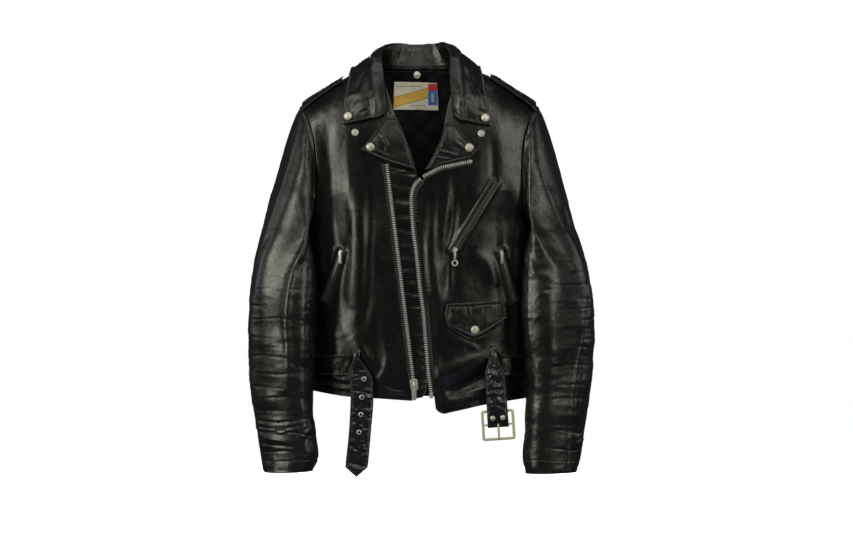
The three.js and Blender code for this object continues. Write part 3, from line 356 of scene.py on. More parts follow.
def leather_mat(name, dark, light, rough=(0.30, 0.46), grain=1.0, coat=0.12, crack=0.0, wear_and_highlight=(0.055, 0.05, 0.04)):
    m, nt, b = nodes_of(name); L = nt.links.new
    tc = node(nt, "ShaderNodeTexCoord")
    big = node(nt, "ShaderNodeTexNoise", i_Scale=14.0, i_Detail=4.0, i_Roughness=0.6)
    fine = node(nt, "ShaderNodeTexNoise", i_Scale=520.0, i_Detail=3.0, i_Roughness=0.65)
    cell = node(nt, "ShaderNodeTexVoronoi", feature="DISTANCE_TO_EDGE", i_Scale=430.0)
    cell2 = node(nt, "ShaderNodeTexVoronoi", feature="DISTANCE_TO_EDGE", i_Scale=150.0)
    warp = node(nt, "ShaderNodeTexNoise", i_Scale=60.0, i_Detail=2.0)
    for t in (big, fine, warp): L(tc.outputs["Object"], t.inputs["Vector"])
    add = node(nt, "ShaderNodeVectorMath", operation="MULTIPLY_ADD"); add.inputs[1].default_value = (0.004, 0.004, 0.004)
    L(warp.outputs["Color"], add.inputs[0]); L(tc.outputs["Object"], add.inputs[2])
    L(add.outputs[0], cell.inputs["Vector"]); L(add.outputs[0], cell2.inputs["Vector"])
    geo = node(nt, "ShaderNodeNewGeometry")
    col = ramp(nt, big.outputs["Fac"], [(0.30, dark), (0.70, light)])
    # convex ridges and edges (Pointiness) take a lighter colour, broken up by noise: rubbed wear and a painted
    # highlight on the crests
    edge = ramp(nt, geo.outputs["Pointiness"], [(0.505, grey(0)), (0.56, grey(1))])
    brk = ramp(nt, fine.outputs["Fac"], [(0.38, grey(0.15)), (0.62, grey(1))])
    mul = node(nt, "ShaderNodeMath", operation="MULTIPLY"); L(edge, mul.inputs[0]); L(brk, mul.inputs[1])
    mul2 = node(nt, "ShaderNodeMath", operation="MULTIPLY"); L(mul.outputs[0], mul2.inputs[0]); mul2.inputs[1].default_value = 0.55
    mix = node(nt, "ShaderNodeMix", data_type="RGBA"); L(mul2.outputs[0], mix.inputs[0]); L(col, mix.inputs[6]); mix.inputs[7].default_value = (*wear_and_highlight, 1)
    L(mix.outputs[2], b.inputs["Base Color"])
    rr = node(nt, "ShaderNodeMapRange"); rr.inputs[1].default_value = 0.3; rr.inputs[2].default_value = 0.7; rr.inputs[3].default_value = rough[0]; rr.inputs[4].default_value = rough[1]
    rn = node(nt, "ShaderNodeTexNoise", i_Scale=38.0, i_Detail=5.0, i_Roughness=0.7); L(tc.outputs["Object"], rn.inputs["Vector"])
    L(rn.outputs["Fac"], rr.inputs[0]); L(rr.outputs[0], b.inputs["Roughness"])
    b.inputs["Specular IOR Level"].default_value = 0.55
    b.inputs["Coat Weight"].default_value = coat; b.inputs["Coat Roughness"].default_value = 0.28
    pe = ramp(nt, cell.outputs["Distance"], [(0.0, grey(0)), (0.12, grey(0.75)), (0.35, grey(1))])
    pe2 = ramp(nt, cell2.outputs["Distance"], [(0.0, grey(0.0)), (0.05, grey(1))])
    s1 = node(nt, "ShaderNodeMath", operation="MULTIPLY_ADD"); L(fine.outputs["Fac"], s1.inputs[0]); s1.inputs[1].default_value = 0.7; L(pe, s1.inputs[2])
    s2 = node(nt, "ShaderNodeMath", operation="MULTIPLY_ADD"); L(pe2, s2.inputs[0]); s2.inputs[1].default_value = 0.35 + crack; L(s1.outputs[0], s2.inputs[2])
    bp = node(nt, "ShaderNodeBump", i_Strength=0.30 * grain, i_Distance=0.00022); L(s2.outputs[0], bp.inputs["Height"])
    b2 = node(nt, "ShaderNodeBump", i_Strength=0.32 * grain, i_Distance=0.0010); L(rn.outputs["Fac"], b2.inputs["Height"]); L(bp.outputs[0], b2.inputs["Normal"])
    L(b2.outputs[0], b.inputs["Normal"])
    return m

def metal_mat(name, color, rough=(0.16, 0.34), bump=0.12, metallic=1.0):
    m, nt, b = nodes_of(name); L = nt.links.new
    tc = node(nt, "ShaderNodeTexCoord"); n = node(nt, "ShaderNodeTexNoise", i_Scale=260.0, i_Detail=5.0, i_Roughness=0.7)
    L(tc.outputs["Object"], n.inputs["Vector"])
    L(ramp(nt, n.outputs["Fac"], [(0.3, tuple(c * 0.82 for c in color)), (0.65, color)]), b.inputs["Base Color"])
    rr = node(nt, "ShaderNodeMapRange"); rr.inputs[1].default_value = 0.3; rr.inputs[2].default_value = 0.7; rr.inputs[3].default_value = rough[0]; rr.inputs[4].default_value = rough[1]
    L(n.outputs["Fac"], rr.inputs[0]); L(rr.outputs[0], b.inputs["Roughness"])
    b.inputs["Metallic"].default_value = metallic
    bp = node(nt, "ShaderNodeBump", i_Strength=bump, i_Distance=0.0002); L(n.outputs["Fac"], bp.inputs["Height"]); L(bp.outputs[0], b.inputs["Normal"])
    return m

def cloth_mat(name, dark, light, scale=900.0, rough=0.75, sheen=0.3, bump=0.4, diag=True):
    m, nt, b = nodes_of(name); L = nt.links.new
    tc = node(nt, "ShaderNodeTexCoord"); mp = node(nt, "ShaderNodeMapping"); mp.inputs["Rotation"].default_value = (0.3, 0.2, 0.785 if diag else 0)
    L(tc.outputs["Object"], mp.inputs["Vector"])
    w1 = node(nt, "ShaderNodeTexWave", i_Scale=scale / 3, i_Distortion=0.6, i_Detail=1.0); w2 = node(nt, "ShaderNodeTexWave", bands_direction="Z", i_Scale=scale / 3, i_Distortion=0.6, i_Detail=1.0)
    n = node(nt, "ShaderNodeTexNoise", i_Scale=25.0, i_Detail=4.0)
    for t in (w1, w2): L(mp.outputs[0], t.inputs["Vector"])
    L(tc.outputs["Object"], n.inputs["Vector"])
    mx = node(nt, "ShaderNodeMath", operation="MAXIMUM"); L(w1.outputs["Fac"], mx.inputs[0]); L(w2.outputs["Fac"], mx.inputs[1])
    ad = node(nt, "ShaderNodeMath", operation="MULTIPLY_ADD"); L(n.outputs["Fac"], ad.inputs[0]); ad.inputs[1].default_value = 0.8; L(mx.outputs[0], ad.inputs[2])
    L(ramp(nt, ad.outputs[0], [(0.5, dark), (1.3 / 1.4, light)]), b.inputs["Base Color"])
    b.inputs["Roughness"].default_value = rough; b.inputs["Sheen Weight"].default_value = sheen
    bp = node(nt, "ShaderNodeBump", i_Strength=bump, i_Distance=0.0003); L(mx.outputs[0], bp.inputs["Height"]); L(bp.outputs[0], b.inputs["Normal"])
    return m

M_BODY = leather_mat("black_leather_body", (0.0018, 0.0018, 0.0014), (0.0045, 0.0043, 0.0033), rough=(0.18, 0.31))
M_SLEEVE = leather_mat("black_leather_sleeve", (0.0038, 0.0037, 0.0033), (0.0091, 0.0088, 0.0078), rough=(0.21, 0.36))
M_COLLAR = leather_mat("black_leather_collar", (0.0027, 0.0026, 0.0020), (0.0073, 0.0068, 0.0053), rough=(0.22, 0.40), grain=1.25, crack=0.15)
# belt leather: the blue tint of its base and ridge colours is painted blue sheen from the cool light
M_BELT_PAINTED_BLUE_SHEEN = leather_mat("black_leather_belt_painted_blue_sheen", (0.0036, 0.0040, 0.0050), (0.0085, 0.0098, 0.0130), rough=(0.14, 0.26), grain=1.1, coat=0.30, crack=0.2, wear_and_highlight=(0.05, 0.055, 0.07))
M_CUFF = M_SLEEVE
M_NICKEL = metal_mat("nickel", (0.78, 0.76, 0.70), metallic=0.6, rough=(0.22, 0.36))
M_CAP = metal_mat("nickel_cap", (0.74, 0.71, 0.61), rough=(0.32, 0.5), metallic=0.55)
# darker nickel for the hand and cuff sliders and pulls: painted shade, keeping them dim under the strip lights
M_NICKEL_PAINTED_SHADE = metal_mat("nickel_painted_shade", (0.30, 0.29, 0.27), metallic=0.85, rough=(0.28, 0.42))
M_TEETH = metal_mat("aluminium_teeth", (0.93, 0.93, 0.90), rough=(0.26, 0.4), metallic=0.5)
M_DULL = metal_mat("dull_teeth", (0.20, 0.195, 0.18), rough=(0.32, 0.5), metallic=0.85)
M_BUCKLE = metal_mat("buckle_metal", (0.80, 0.75, 0.56), rough=(0.32, 0.48), metallic=0.35)
M_TAPE = cloth_mat("zip_tape", (0.006, 0.006, 0.007), (0.022, 0.022, 0.023), scale=2400, rough=0.8)
M_LINING = cloth_mat("satin_lining", (0.0009, 0.0009, 0.0011), (0.0034, 0.0034, 0.0042), scale=3000, rough=0.50, sheen=0.04, bump=0.25)
next(n for n in M_LINING.node_tree.nodes if n.type == "BSDF_PRINCIPLED").inputs["Specular IOR Level"].default_value = 0.12
M_COTTON = cloth_mat("pocket_cotton", (0.010, 0.010, 0.010), (0.03, 0.03, 0.029), scale=2200, rough=0.85)
M_THREAD = cloth_mat("thread", (0.008, 0.008, 0.007), (0.03, 0.029, 0.026), scale=5200, rough=0.6, sheen=0.1)

def label_mat():
    m, nt, b = nodes_of("label_weave"); L = nt.links.new
    tc = node(nt, "ShaderNodeTexCoord"); sp = node(nt, "ShaderNodeSeparateXYZ"); L(tc.outputs["Object"], sp.inputs[0])
    def lin(a, c, d):  # a*x + c*z + d
        p = node(nt, "ShaderNodeMath", operation="MULTIPLY_ADD"); L(sp.outputs[0], p.inputs[0]); p.inputs[1].default_value = a; p.inputs[2].default_value = d
        q = node(nt, "ShaderNodeMath", operation="MULTIPLY_ADD"); L(sp.outputs[2], q.inputs[0]); q.inputs[1].default_value = c; L(p.outputs[0], q.inputs[2]); return q.outputs[0]
    def band(src, lo, hi):
        a = node(nt, "ShaderNodeMath", operation="GREATER_THAN"); L(src, a.inputs[0]); a.inputs[1].default_value = lo
        c = node(nt, "ShaderNodeMath", operation="LESS_THAN"); L(src, c.inputs[0]); c.inputs[1].default_value = hi
        e = node(nt, "ShaderNodeMath", operation="MULTIPLY"); L(a.outputs[0], e.inputs[0]); L(c.outputs[0], e.inputs[1]); return e.outputs[0]
    def mixc(f, c0, c1):
        x = node(nt, "ShaderNodeMix", data_type="RGBA"); L(f, x.inputs[0])
        if isinstance(c0, tuple): x.inputs[6].default_value = (*c0, 1)
        else: L(c0, x.inputs[6])
        x.inputs[7].default_value = (*c1, 1); return x.outputs[2]
    def both(a, c):
        e = node(nt, "ShaderNodeMath", operation="MULTIPLY"); L(a, e.inputs[0]); L(c, e.inputs[1]); return e.outputs[0]
    n = node(nt, "ShaderNodeTexNoise", i_Scale=60.0, i_Detail=3.0); L(tc.outputs["Object"], n.inputs["Vector"])
    base = ramp(nt, n.outputs["Fac"], [(0.35, (0.74, 0.69, 0.53)), (0.65, (0.86, 0.82, 0.69))])
    X, Z = sp.outputs[0], sp.outputs[2]
    diag = lin(-0.27, 1.0, 0.0220)   # z - 0.27x + 0.0265
    c = mixc(band(diag, -0.0085, 0.0085), base, (0.84, 0.52, 0.09))
    c = mixc(band(diag, 0.0085, 0.0095), c, (0.30, 0.10, 0.03)); c = mixc(band(diag, -0.0095, -0.0085), c, (0.30, 0.10, 0.03))
    right = band(X, 0.0165, 0.0335)
    c = mixc(both(right, band(Z, -0.040, -0.001)), c, (0.035, 0.16, 0.45))
    c = mixc(both(right, band(Z, -0.014, -0.001)), c, (0.55, 0.025, 0.035))
    c = mixc(both(band(X, 0.0225, 0.0275), band(Z, -0.034, -0.019)), c, (0.45, 0.42, 0.34))
    # plain woven rules: a generic border, no lettering
    c = mixc(both(band(Z, -0.0060, -0.0048), band(X, -0.043, 0.006)), c, (0.33, 0.27, 0.17)); c = mixc(both(band(Z, -0.0412, -0.0400), band(X, -0.018, 0.012)), c, (0.33, 0.27, 0.17))
    L(c, b.inputs["Base Color"]); b.inputs["Roughness"].default_value = 0.7; b.inputs["Sheen Weight"].default_value = 0.2
    w = node(nt, "ShaderNodeTexWave", bands_direction="Z", i_Scale=620.0, i_Distortion=0.3); L(tc.outputs["Object"], w.inputs["Vector"])
    bp = node(nt, "ShaderNodeBump", i_Strength=0.35, i_Distance=0.0003); L(w.outputs["Fac"], bp.inputs["Height"]); L(bp.outputs[0], b.inputs["Normal"])
    return m
M_LABEL = label_mat()

def put(ob, body, replaces=(), blend=None):
    if blend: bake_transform(ob)
    else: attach(ob, body)
    if replaces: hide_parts(*replaces)
    return ob

# =====================================================================  front displacement field (x, z -> mm)
LAPEL_ZONE = [(-75, -60), (75, -60), (115, -130), (0, -170), (-110, -130)]
left_edge = track([[-592, 30], [-567, 27], [-522, 21], [-486, 18], [-450, 15], [-414, 12], [-378, 7], [-342, 3], [-306, -1], [-270, -6], [-234, -8], [-205, -6], [-185, 4], [-167, 16], [-125, 30], [-108, 38], [-79, 45], [-45, 52], [0, 64], [NECK_Z, NECK_X]])
GAP_R = 7.0
right_edge = track([[-578, stringer_x(-578) - GAP_R], [-450, stringer_x(-450) - GAP_R], [-300, stringer_x(-300) - GAP_R], [-170, stringer_x(-170) - GAP_R], [-140, stringer_x(-140) - GAP_R], [-120, -50], [-105, -35], [-85, -37], [-60, -44], [-40, -50], [0, -63], [NECK_Z, -NECK_X]])

FRONT_R = [  # wearer's right front: vertical folds from the shoulder down
    (px([(356, 118), (357, 180), (359, 245), (357, 310)]), 15, 5.0, "ridge"), (px([(380, 185), (379, 240), (376, 300), (372, 345)]), 17, 1.4, "ridge"),
    (px([(370, 150), (370, 200), (368, 270), (365, 330)]), 9, -1.5, "ridge"), (px([(326, 120), (330, 190), (335, 260), (338, 335)]), 17, -8.0, "ridge"),
    (px([(342, 118), (343, 180), (344, 262), (346, 335)]), 12, -2.4, "ridge"), (px([(387, 265), (386, 320), (388, 350), (392, 385)]), 15, 1.8, "ridge"),
    (px([(322, 372), (338, 379), (356, 382)]), 6, 1.8, "crease"), (px([(322, 385), (340, 388), (362, 390)]), 5, 1.6, "crease"), (px([(378, 384), (392, 392), (408, 393)]), 5, 1.4, "crease"),
    (px([(352, 335), (362, 350), (378, 372)]), 10, 2.6, "ridge"), (px([(338, 215), (346, 250), (348, 300)]), 12, 1.2, "ridge"), (px([(376, 385), (384, 372), (390, 352)]), 7, 1.6, "ridge"),
    (px([(398, 180), (399, 240), (403, 300), (408, 370)]), 5.5, -1.4, "ridge")]
FRONT_L = [
    (px([(434, 180), (433, 215), (431, 250), (433, 300)]), 11, 3.6, "ridge"), (px([(447, 168), (446.5, 205), (442, 250)]), 10, 2.6, "ridge"), (px([(440, 178), (439.5, 210), (437, 240)]), 7, -0.9, "ridge"),
    (px([(455, 172), (454, 215), (450, 262), (449, 300)]), 9, -4.6, "ridge"), (px([(465, 165), (463, 195), (459, 215)]), 14, 0.6, "ridge"), (px([(470, 160), (469, 185), (464, 205)]), 12, -1.0, "ridge"),
    (px([(479, 145), (478, 170), (473, 200)]), 10, 4.4, "ridge"), (px([(491, 138), (492, 168), (490, 190)]), 9, -3.6, "ridge"), (px([(506, 190), (507, 250), (508, 320), (508, 360)]), 15, -6.5, "ridge"),
    (px([(436, 378), (462, 367), (498, 353)]), 15, 6.0, "ridge"), (px([(446, 394), (470, 384), (496, 369)]), 10, -5.2, "ridge"), (px([(460, 398), (482, 391), (502, 383)]), 8, 3.0, "ridge"), (px([(443, 331), (460, 340), (479, 349)]), 4.5, 2.0, "ridge"),
    (px([(437, 262), (438, 300), (441, 345)]), 10, 2.4, "ridge"), (px([(470, 252), (488, 262), (500, 286)]), 13, 2.8, "ridge"), (px([(436, 352), (438, 368), (437, 392)]), 6, 2.2, "ridge"),
    (px([(445, 402), (470, 398), (500, 391)]), 5, 1.6, "crease"), (px([(505, 380), (515, 384), (524, 386)]), 4, 1.2, "crease"),
    (px([(495, 352), (503, 372), (506, 398)]), 8, 2.2, "ridge")]

def front_disp(x, z):
    d = np.zeros(np.broadcast(x, z).shape); x = x + d; z = z + d
    for pts, w, h, k in (FRONT_R + FRONT_L): d = d + stroke(x, z, pts, w, h, k)
    d = d + 1.7 * vnoise(x / 62, z / 110, 0, 5) + 0.8 * vnoise(x / 27, z / 62, 0, 6) + 0.22 * vnoise(x / 13, z / 24, 0, 7) + 0.10 * vnoise(x / 6, z / 7, 0, 8)
    # quiet under collar and lapels, and towards the seams
    quiet = smooth(-262, -150, z) * (1 - smooth(118, 150, np.abs(x)))
    d = d * (1 - 0.85 * quiet)
    d = np.where(d > 0, np.minimum(d, 3.4) * (1 - quiet) + np.minimum(d, 0.6) * quiet + np.where(d > 3.4, 0.55 * (d - 3.4), 0) * (1 - quiet), d)
    # chest pocket: the leather swells into two welts beside the teeth
    t, q = along(CH_A, CH_B, x, z); inside = smooth(-0.05, 0.02, t) * (1 - smooth(0.98, 1.05, t))
    d = d * (1 - inside * np.exp(-(q / 16) ** 2))
    d = d + inside * (2.6 * np.exp(-((np.abs(q) - 7.2) / 3.0) ** 2) - 1.0 * np.exp(-(q / 3.2) ** 2))
    for A, B in ((LH_A, LH_B), (RH_A, RH_B)):
        t, q = along(A, B, x, z); inside = smooth(-0.06, 0.02, t) * (1 - smooth(0.98, 1.06, t))
        d = d * (1 - 0.8 * inside * np.exp(-(q / 14) ** 2)) + inside * (1.6 * np.exp(-((np.abs(q) - 6.2) / 2.4) ** 2) - 0.8 * np.exp(-(q / 2.8) ** 2))
    # coin pocket and belt lie flat
    flat = np.exp(-(((x - 102) / 66) ** 4)) * np.exp(-(((z + 434) / 42) ** 4))
    d = d * (1 - 0.9 * flat)
    # front edges: leather pressed flat beside the zips
    er, el = right_edge(z) - x, x - left_edge(z)
    for e in (er, el):
        on = (e > -1) & (e < 16) & (z < -195)
        d = np.where(on, d * (0.35 + 0.65 * smooth(5, 16, e)), d)
    pk = 0.62 * np.sin(z * 2 * math.pi / 7.2 + 1.6 * np.sin(z / 17)) * (0.6 + 0.5 * vnoise(0, z / 30, 0, 9))  # stitch puckers down both front edges
    for e, g in ((er, 1.0), (el, 0.6)): d = d + np.where((z < -190), g * pk * smooth(-190, -240, z) * np.exp(-((e - 9) / 6.0) ** 2) * smooth(-1, 2, e), 0)
    d = np.where((z < -190) & (el > -2), d - 0.55 * np.exp(-((el - 4.6) / 0.8) ** 2) - 0.25 * np.exp(-((el - 11) / 1.2) ** 2), d)
    d = np.where((z < -170) & (er > -2), d - 0.55 * np.exp(-((er - 4.2) / 0.8) ** 2), d)
    return d

def along(A, B, x, z):
    ax, az = A; dx, dz = B[0] - ax, B[1] - az; L = math.hypot(dx, dz)
    return ((x - ax) * dx + (z - az) * dz) / (L * L), ((x - ax) * -dz + (z - az) * dx) / L
CH_A, CH_B, LH_A, LH_B, RH_A, RH_B = (61, -311), (139, -184), (146, -306), (174, -400), (-138, -306), (-172, -400)

def front_surf(x, z, off=0.0):
    n = body_normal(-1, x, z); p = np.stack(np.broadcast_arrays(np.asarray(x, float), -depth(-1, x, z), np.asarray(z, float)), -1)
    return p + n * (front_disp(x, z) + off)[..., None], n

neck_rows = np.array([ARMPIT_Z, -225, -195, -165, -130, -95, -55, -10, NECK_Z], float)
VB = 7 / 15
def front_panel(s, name, edge, hem_rows, hem_front, hem_side):
    hem = track(hem_rows)
    def L(v):
        v = np.asarray(v, float); z = np.where(v < VB, hem_front + (ARMPIT_Z - hem_front) * v / VB, np.interp((v - VB) / (1 - VB) * 8, np.arange(9), neck_rows))
        return np.stack([edge(z), z], -1)
    def R(v):
        v = np.asarray(v, float); k = np.clip((v - VB) / (1 - VB), 0, 1); za = (ARMPIT_Z + TIP_Z) / 2 - (TIP_Z - ARMPIT_Z) / 2 * np.cos(math.pi * k)
        z = np.where(v < VB, hem_side + (ARMPIT_Z - hem_side) * v / VB, za); x = np.where(v < VB, SIDE_X, arm_front(za))
        return np.stack([s * x, z], -1)
    x0 = s * float(edge(hem_front))
    def B(u):
        x = x0 + (SIDE_X - x0) * np.asarray(u, float); return np.stack([s * x, hem(x) + 0 * x], -1)
    def T(u):
        x = NECK_X + (TIP_X - NECK_X) * np.asarray(u, float); return np.stack([s * x, shoulder_z(x) + 0 * x], -1)
    us = dense(120, 205, f=lambda t: np.sin(math.pi / 2 * t)); vs = dense(260, 620)
    G = coons(B, T, L, R, us, vs); x, z = G[..., 0], G[..., 1]
    P, N = front_surf(x, z)
    seam = smooth(0, 9, depth(-1, x, z)); base, _ = on_body(-1, x, z)
    P = base + (P - base) * seam[..., None]
    flat = np.abs(base[..., 1]) < 0.4; N[flat, 1] = 0; N = unit(N)
    ob = sheet_mesh(name, P, N, 2.4, M_BODY, mid=-1.2)
    return ob
put(front_panel(1, "left_front_leather", left_edge, [[29, -591], [35, -597.5], [43, -601], [58, -598.5], [115, -586], [SIDE_X, -572]], -592, -572), "body", ["left_front_panel"])
put(front_panel(-1, "right_front_leather", right_edge, [[12, -578], [70, -574], [124, -571], [SIDE_X, -558]], -578, -558), "body", ["right_front_panel"])

# =====================================================================  back panel: action pleats, waist seam, hem
def back_disp(x, z):
    a = np.abs(x)
    d = 1.5 * vnoise(x / 70, z / 90, 3, 11) + 0.8 * vnoise(x / 26, z / 30, 3, 12) + 0.35 * vnoise(x / 9, z / 8, 3, 13)
    for pts, w, h in (([(-60, -90), (-95, -200), (-70, -330)], 14, 2.4), ([(70, -110), (100, -220), (80, -350)], 14, 2.4), ([(-20, -380), (30, -430), (90, -470)], 12, 2.0), ([(-120, -420), (-60, -455), (0, -470)], 10, 1.8), ([(0, -60), (6, -180), (-4, -300)], 20, 1.8)):
        d = d + stroke(x, z, pts, w, h)
    pl = smooth(-470, -420, z) * (1 - smooth(-120, -80, z)); e = a - (150 + 0.03 * (z + 300))  # bi-swing pleat: a step with a deep fold
    d = d + pl * (2.8 * smooth(-9, -1, e) * (1 - smooth(-1, 0.8, e)) - 1.5 * np.exp(-((e - 1.6) / 1.4) ** 2))
    d = d - 0.9 * np.exp(-((z + 490) / 1.3) ** 2) - 0.5 * np.exp(-((z + 562) / 0.9) ** 2)  # waist seam and hem stitch grooves
    yz = z + 78 - 10 * np.cos(x / 90)  # back yoke seam
    d = d - 0.8 * np.exp(-(yz / 1.3) ** 2) + 0.7 * np.exp(-((yz - 4) / 3.0) ** 2)
    return d
def back_surf(x, z, off=0.0):
    n = body_normal(1, x, z); p = np.stack(np.broadcast_arrays(np.asarray(x, float), depth(1, x, z), np.asarray(z, float)), -1)
    return p + n * (back_disp(x, z) + off)[..., None], n
def back_panel():
    def side(s):
        def f(v):
            v = np.asarray(v, float); k = np.clip((v - VB) / (1 - VB), 0, 1); za = (ARMPIT_Z + TIP_Z) / 2 - (TIP_Z - ARMPIT_Z) / 2 * np.cos(math.pi * k); h = -558 if s < 0 else -572
            return np.stack([s * np.where(v < VB, SIDE_X, arm_back(za)), np.where(v < VB, h + (ARMPIT_Z - h) * v / VB, za)], -1)
        return f
    top = curve([[-TIP_X, TIP_Z], [-175, -17], [-135, 8], [-100, 22], [-NECK_X, NECK_Z], [-55, 31], [-30, 30], [0, 30], [30, 30], [55, 31], [NECK_X, NECK_Z], [100, 22], [135, 8], [175, -17], [TIP_X, TIP_Z]])
    def T(u):
        p = top(u); a = np.abs(p[..., 0]); return np.stack([p[..., 0], np.where(a > NECK_X, shoulder_z(a), p[..., 1])], -1)
    B = lambda u: np.stack([-SIDE_X + 2 * SIDE_X * np.asarray(u, float), -558 - 14 * np.asarray(u, float) - 8 * np.sin(math.pi * np.asarray(u, float))], -1)
    us = dense(230, 420, f=lambda t: 0.5 - 0.5 * np.cos(math.pi * t)); vs = dense(240, 600)
    G = coons(B, T, side(-1), side(1), us, vs); x, z = G[..., 0], G[..., 1]
    P, N = back_surf(x, z); base, _ = on_body(1, x, z)
    P = base + (P - base) * smooth(0, 9, depth(1, x, z))[..., None]
    flat = np.abs(base[..., 1]) < 0.4; N[flat, 1] = 0; N = unit(N)
    return sheet_mesh("back_leather", P, N, 2.4, M_BODY, mid=-1.2)
put(back_panel(), "body", ["back_panel"])

# =====================================================================  storm flap between the zips (puckered)
def patch(name, side, bottom, top, left, right, nu, nv, mid, T, mat, disp=None, size=(100, 100), ref=None):
    b, t, l, r = curve(bottom), curve(top), curve(left), curve(right)
    us, vs = dense(nu, size[0]), dense(nv, size[1])
    G = coons(b, t, l, r, us, vs); x, z = G[..., 0], G[..., 1]
    P, N = on_body(side, x, z)
    if disp is not None: P = P + N * disp(x, z, us[:, None], vs[None, :])[..., None]
    return sheet_mesh(name, P, N, T, mat, mid=mid), (G, P, N)
def flap_disp(x, z, u, v):
    edge = np.exp(-((np.minimum(u, 1 - u)) / 0.30) ** 2)
    return (0.9 * edge * np.sin(z * 2 * math.pi / 11 + 2.2 * np.sin(z / 23) + 3 * (u > 0.5)) * (0.6 + 0.5 * vnoise(u * 2, z / 40, 0, 22)) + 0.9 * vnoise(u * 1.6, z / 34, 0, 23) + 2.3 * np.sin(math.pi * u) - 1.0 + 0.70 * np.sin(math.pi * u) * np.sin(z * 2 * math.pi / 25 + 1.9 * np.sin(z / 57) + 1.5 * u) * (1 - 0.55 * smooth(-330, -470, z))) * smooth(0, 0.06, u) * smooth(0, 0.06, 1 - u)
sf_top = [[-56, -122], [-16, -122]]
ob, _ = patch("storm_flap_leather", -1, [[-24, -573], [-8, -574], [6, -572]], sf_top, [[-24, -573], [stringer_x(-450) - 18, -450], [stringer_x(-300) - 18, -300], [stringer_x(-170) - 18, -170], [-56, -122]],
              [[6, -572], [12, -563], [14, -540], [14, -450], [6, -300], [2, -200], [-6, -160], [-16, -122]], 40, 330, -5.9, 2.2, M_BODY, flap_disp, (60, 450))
put(ob, "body", ["storm_flap"])

# =====================================================================  collar
def ob3(x, z, off):
    p, n = on_body(-1, x, z, off); return list(p)
COLLAR = [
    [ob3(-75, -62, 2.8), ob3(-60, -61, 7), ob3(-139, -81, 7)], [ob3(-76, -35, 2.8), ob3(-61, -30, 8), ob3(-136, -55, 7.5)],
    [ob3(-76, -4, 3.5), [-66, -48, 15], ob3(-131, -20, 8)], [[-77, -16, 29.5], [-69, -25, 46], [-125, -14, 23]], [[-74, 8, 33], [-66, 2, 62], [-119, 8, 22]],
    [[-62, 27, 32], [-61, 22, 70], [-104, 37, 9]], [[-36, 41, 30.5], [-40, 40, 74], [-62, 59, 8]], [[0, 45, 30], [-8, 51, 70.5], [0, 64, 10]],
    [[36, 41, 30.5], [28, 46, 73], [62, 59, 8]], [[62, 27, 32], [45, 24, 75], [100, 39, 9]], [[74, 8, 33], [52, 4, 66], [111, 10, 22.5]],
    [[77, -16, 29.5], [57, -22, 48], [114, -14, 25]], [ob3(76, -4, 3.5), [57, -48, 15], ob3(120, -22, 8)], [ob3(76, -35, 2.8), ob3(59, -30, 8), ob3(125, -52, 7.5)], [ob3(78, -64, 2.8), ob3(63, -65, 7), ob3(130, -83, 7)]]
cf = track([[k, *s[0], *s[1], *s[2]] for k, s in enumerate(COLLAR)])
def collar_grid(nk=300, nt=74):
    ks = np.concatenate([[0, 0.012, 0.03, 0.06], np.linspace(0.1, 13.9, nk), [13.94, 13.97, 13.988, 14]])
    v = cf(ks); S, R, E = v[:, 0:3], v[:, 3:6], v[:, 6:9]
    up = unit(R - (S + E) / 2); out = E - S; out = unit(out - up * (out * up).sum(-1, keepdims=True))
    a = R - up * 4 - out * 3.4; b = R - up * 4 + out * 3.4
    puff = np.interp(ks, [0, 1, 3, 11, 13, 14], [3.4, 3.6, 3.0, 3.0, 3.6, 3.4])[:, None]
    m1 = b * 0.67 + E * 0.33 + out * puff; m2 = b * 0.32 + E * 0.68 + out * (puff * 0.75)
    ctrl = np.stack([S, S * 0.45 + a * 0.55 - out * 0.8, a, R, b, m1, m2, E], 1)  # (nk, 8, 3)
    d = np.r_[0, np.cumsum(np.linalg.norm(np.diff(ctrl.mean(0), axis=0), axis=1))]; d = d / d[-1]
    ts = np.concatenate([[0, 0.003, 0.01, 0.02], np.linspace(0.035, 0.965, nt), [0.98, 0.99, 0.997, 1]])
    f = track(np.c_[d, ctrl.transpose(1, 0, 2).reshape(8, -1)])
    P = f(ts).reshape(len(ts), len(ks), 3).transpose(1, 0, 2)
    return P, ks, ts
Pc, kc, tcx = collar_grid()
Nc = grid_normals(Pc);
if Nc[len(kc) // 2, len(tcx) // 4][2] < 0 and Nc[len(kc) // 2, -3][1] < 0: Nc = -Nc
if Nc[len(kc) // 2, -8][1] < 0: Nc = -Nc
K_, T_ = kc[:, None] + 0 * tcx[None], tcx[None] + 0 * kc[:, None]
fall = smooth(0.3, 0.5, T_)
dc = 1.3 * vnoise(K_ * 1.1, T_ * 3.2, 0, 31) + 0.9 * vnoise(K_ * 2.6, T_ * 6, 0, 32) + 0.35 * vnoise(K_ * 6, T_ * 14, 0, 33)
dc = dc * (0.35 + 0.65 * fall) * (0.4 + 0.6 * smooth(0, 1.2, K_) * (1 - smooth(12.8, 14, K_)) + 0.35)
for c0, t0, c1, t1, w, h in ((1.2, 0.5, 1.6, 0.9, 0.16, 1.2), (12.9, 0.5, 12.5, 0.9, 0.16, 1.2), (2.6, 0.42, 2.9, 0.85, 0.2, -1.2), (11.3, 0.42, 11.1, 0.85, 0.2, -1.3), (6.0, 0.1, 6.3, 0.3, 0.12, -0.9), (7.6, 0.08, 7.5, 0.3, 0.14, 1.0), (8.4, 0.1, 8.2, 0.32, 0.12, -0.8)):
    dc = dc + stroke(K_, T_ * 3, [(c0, t0 * 3), (c1, t1 * 3)], w, h)
ed = edge_dist(Pc)
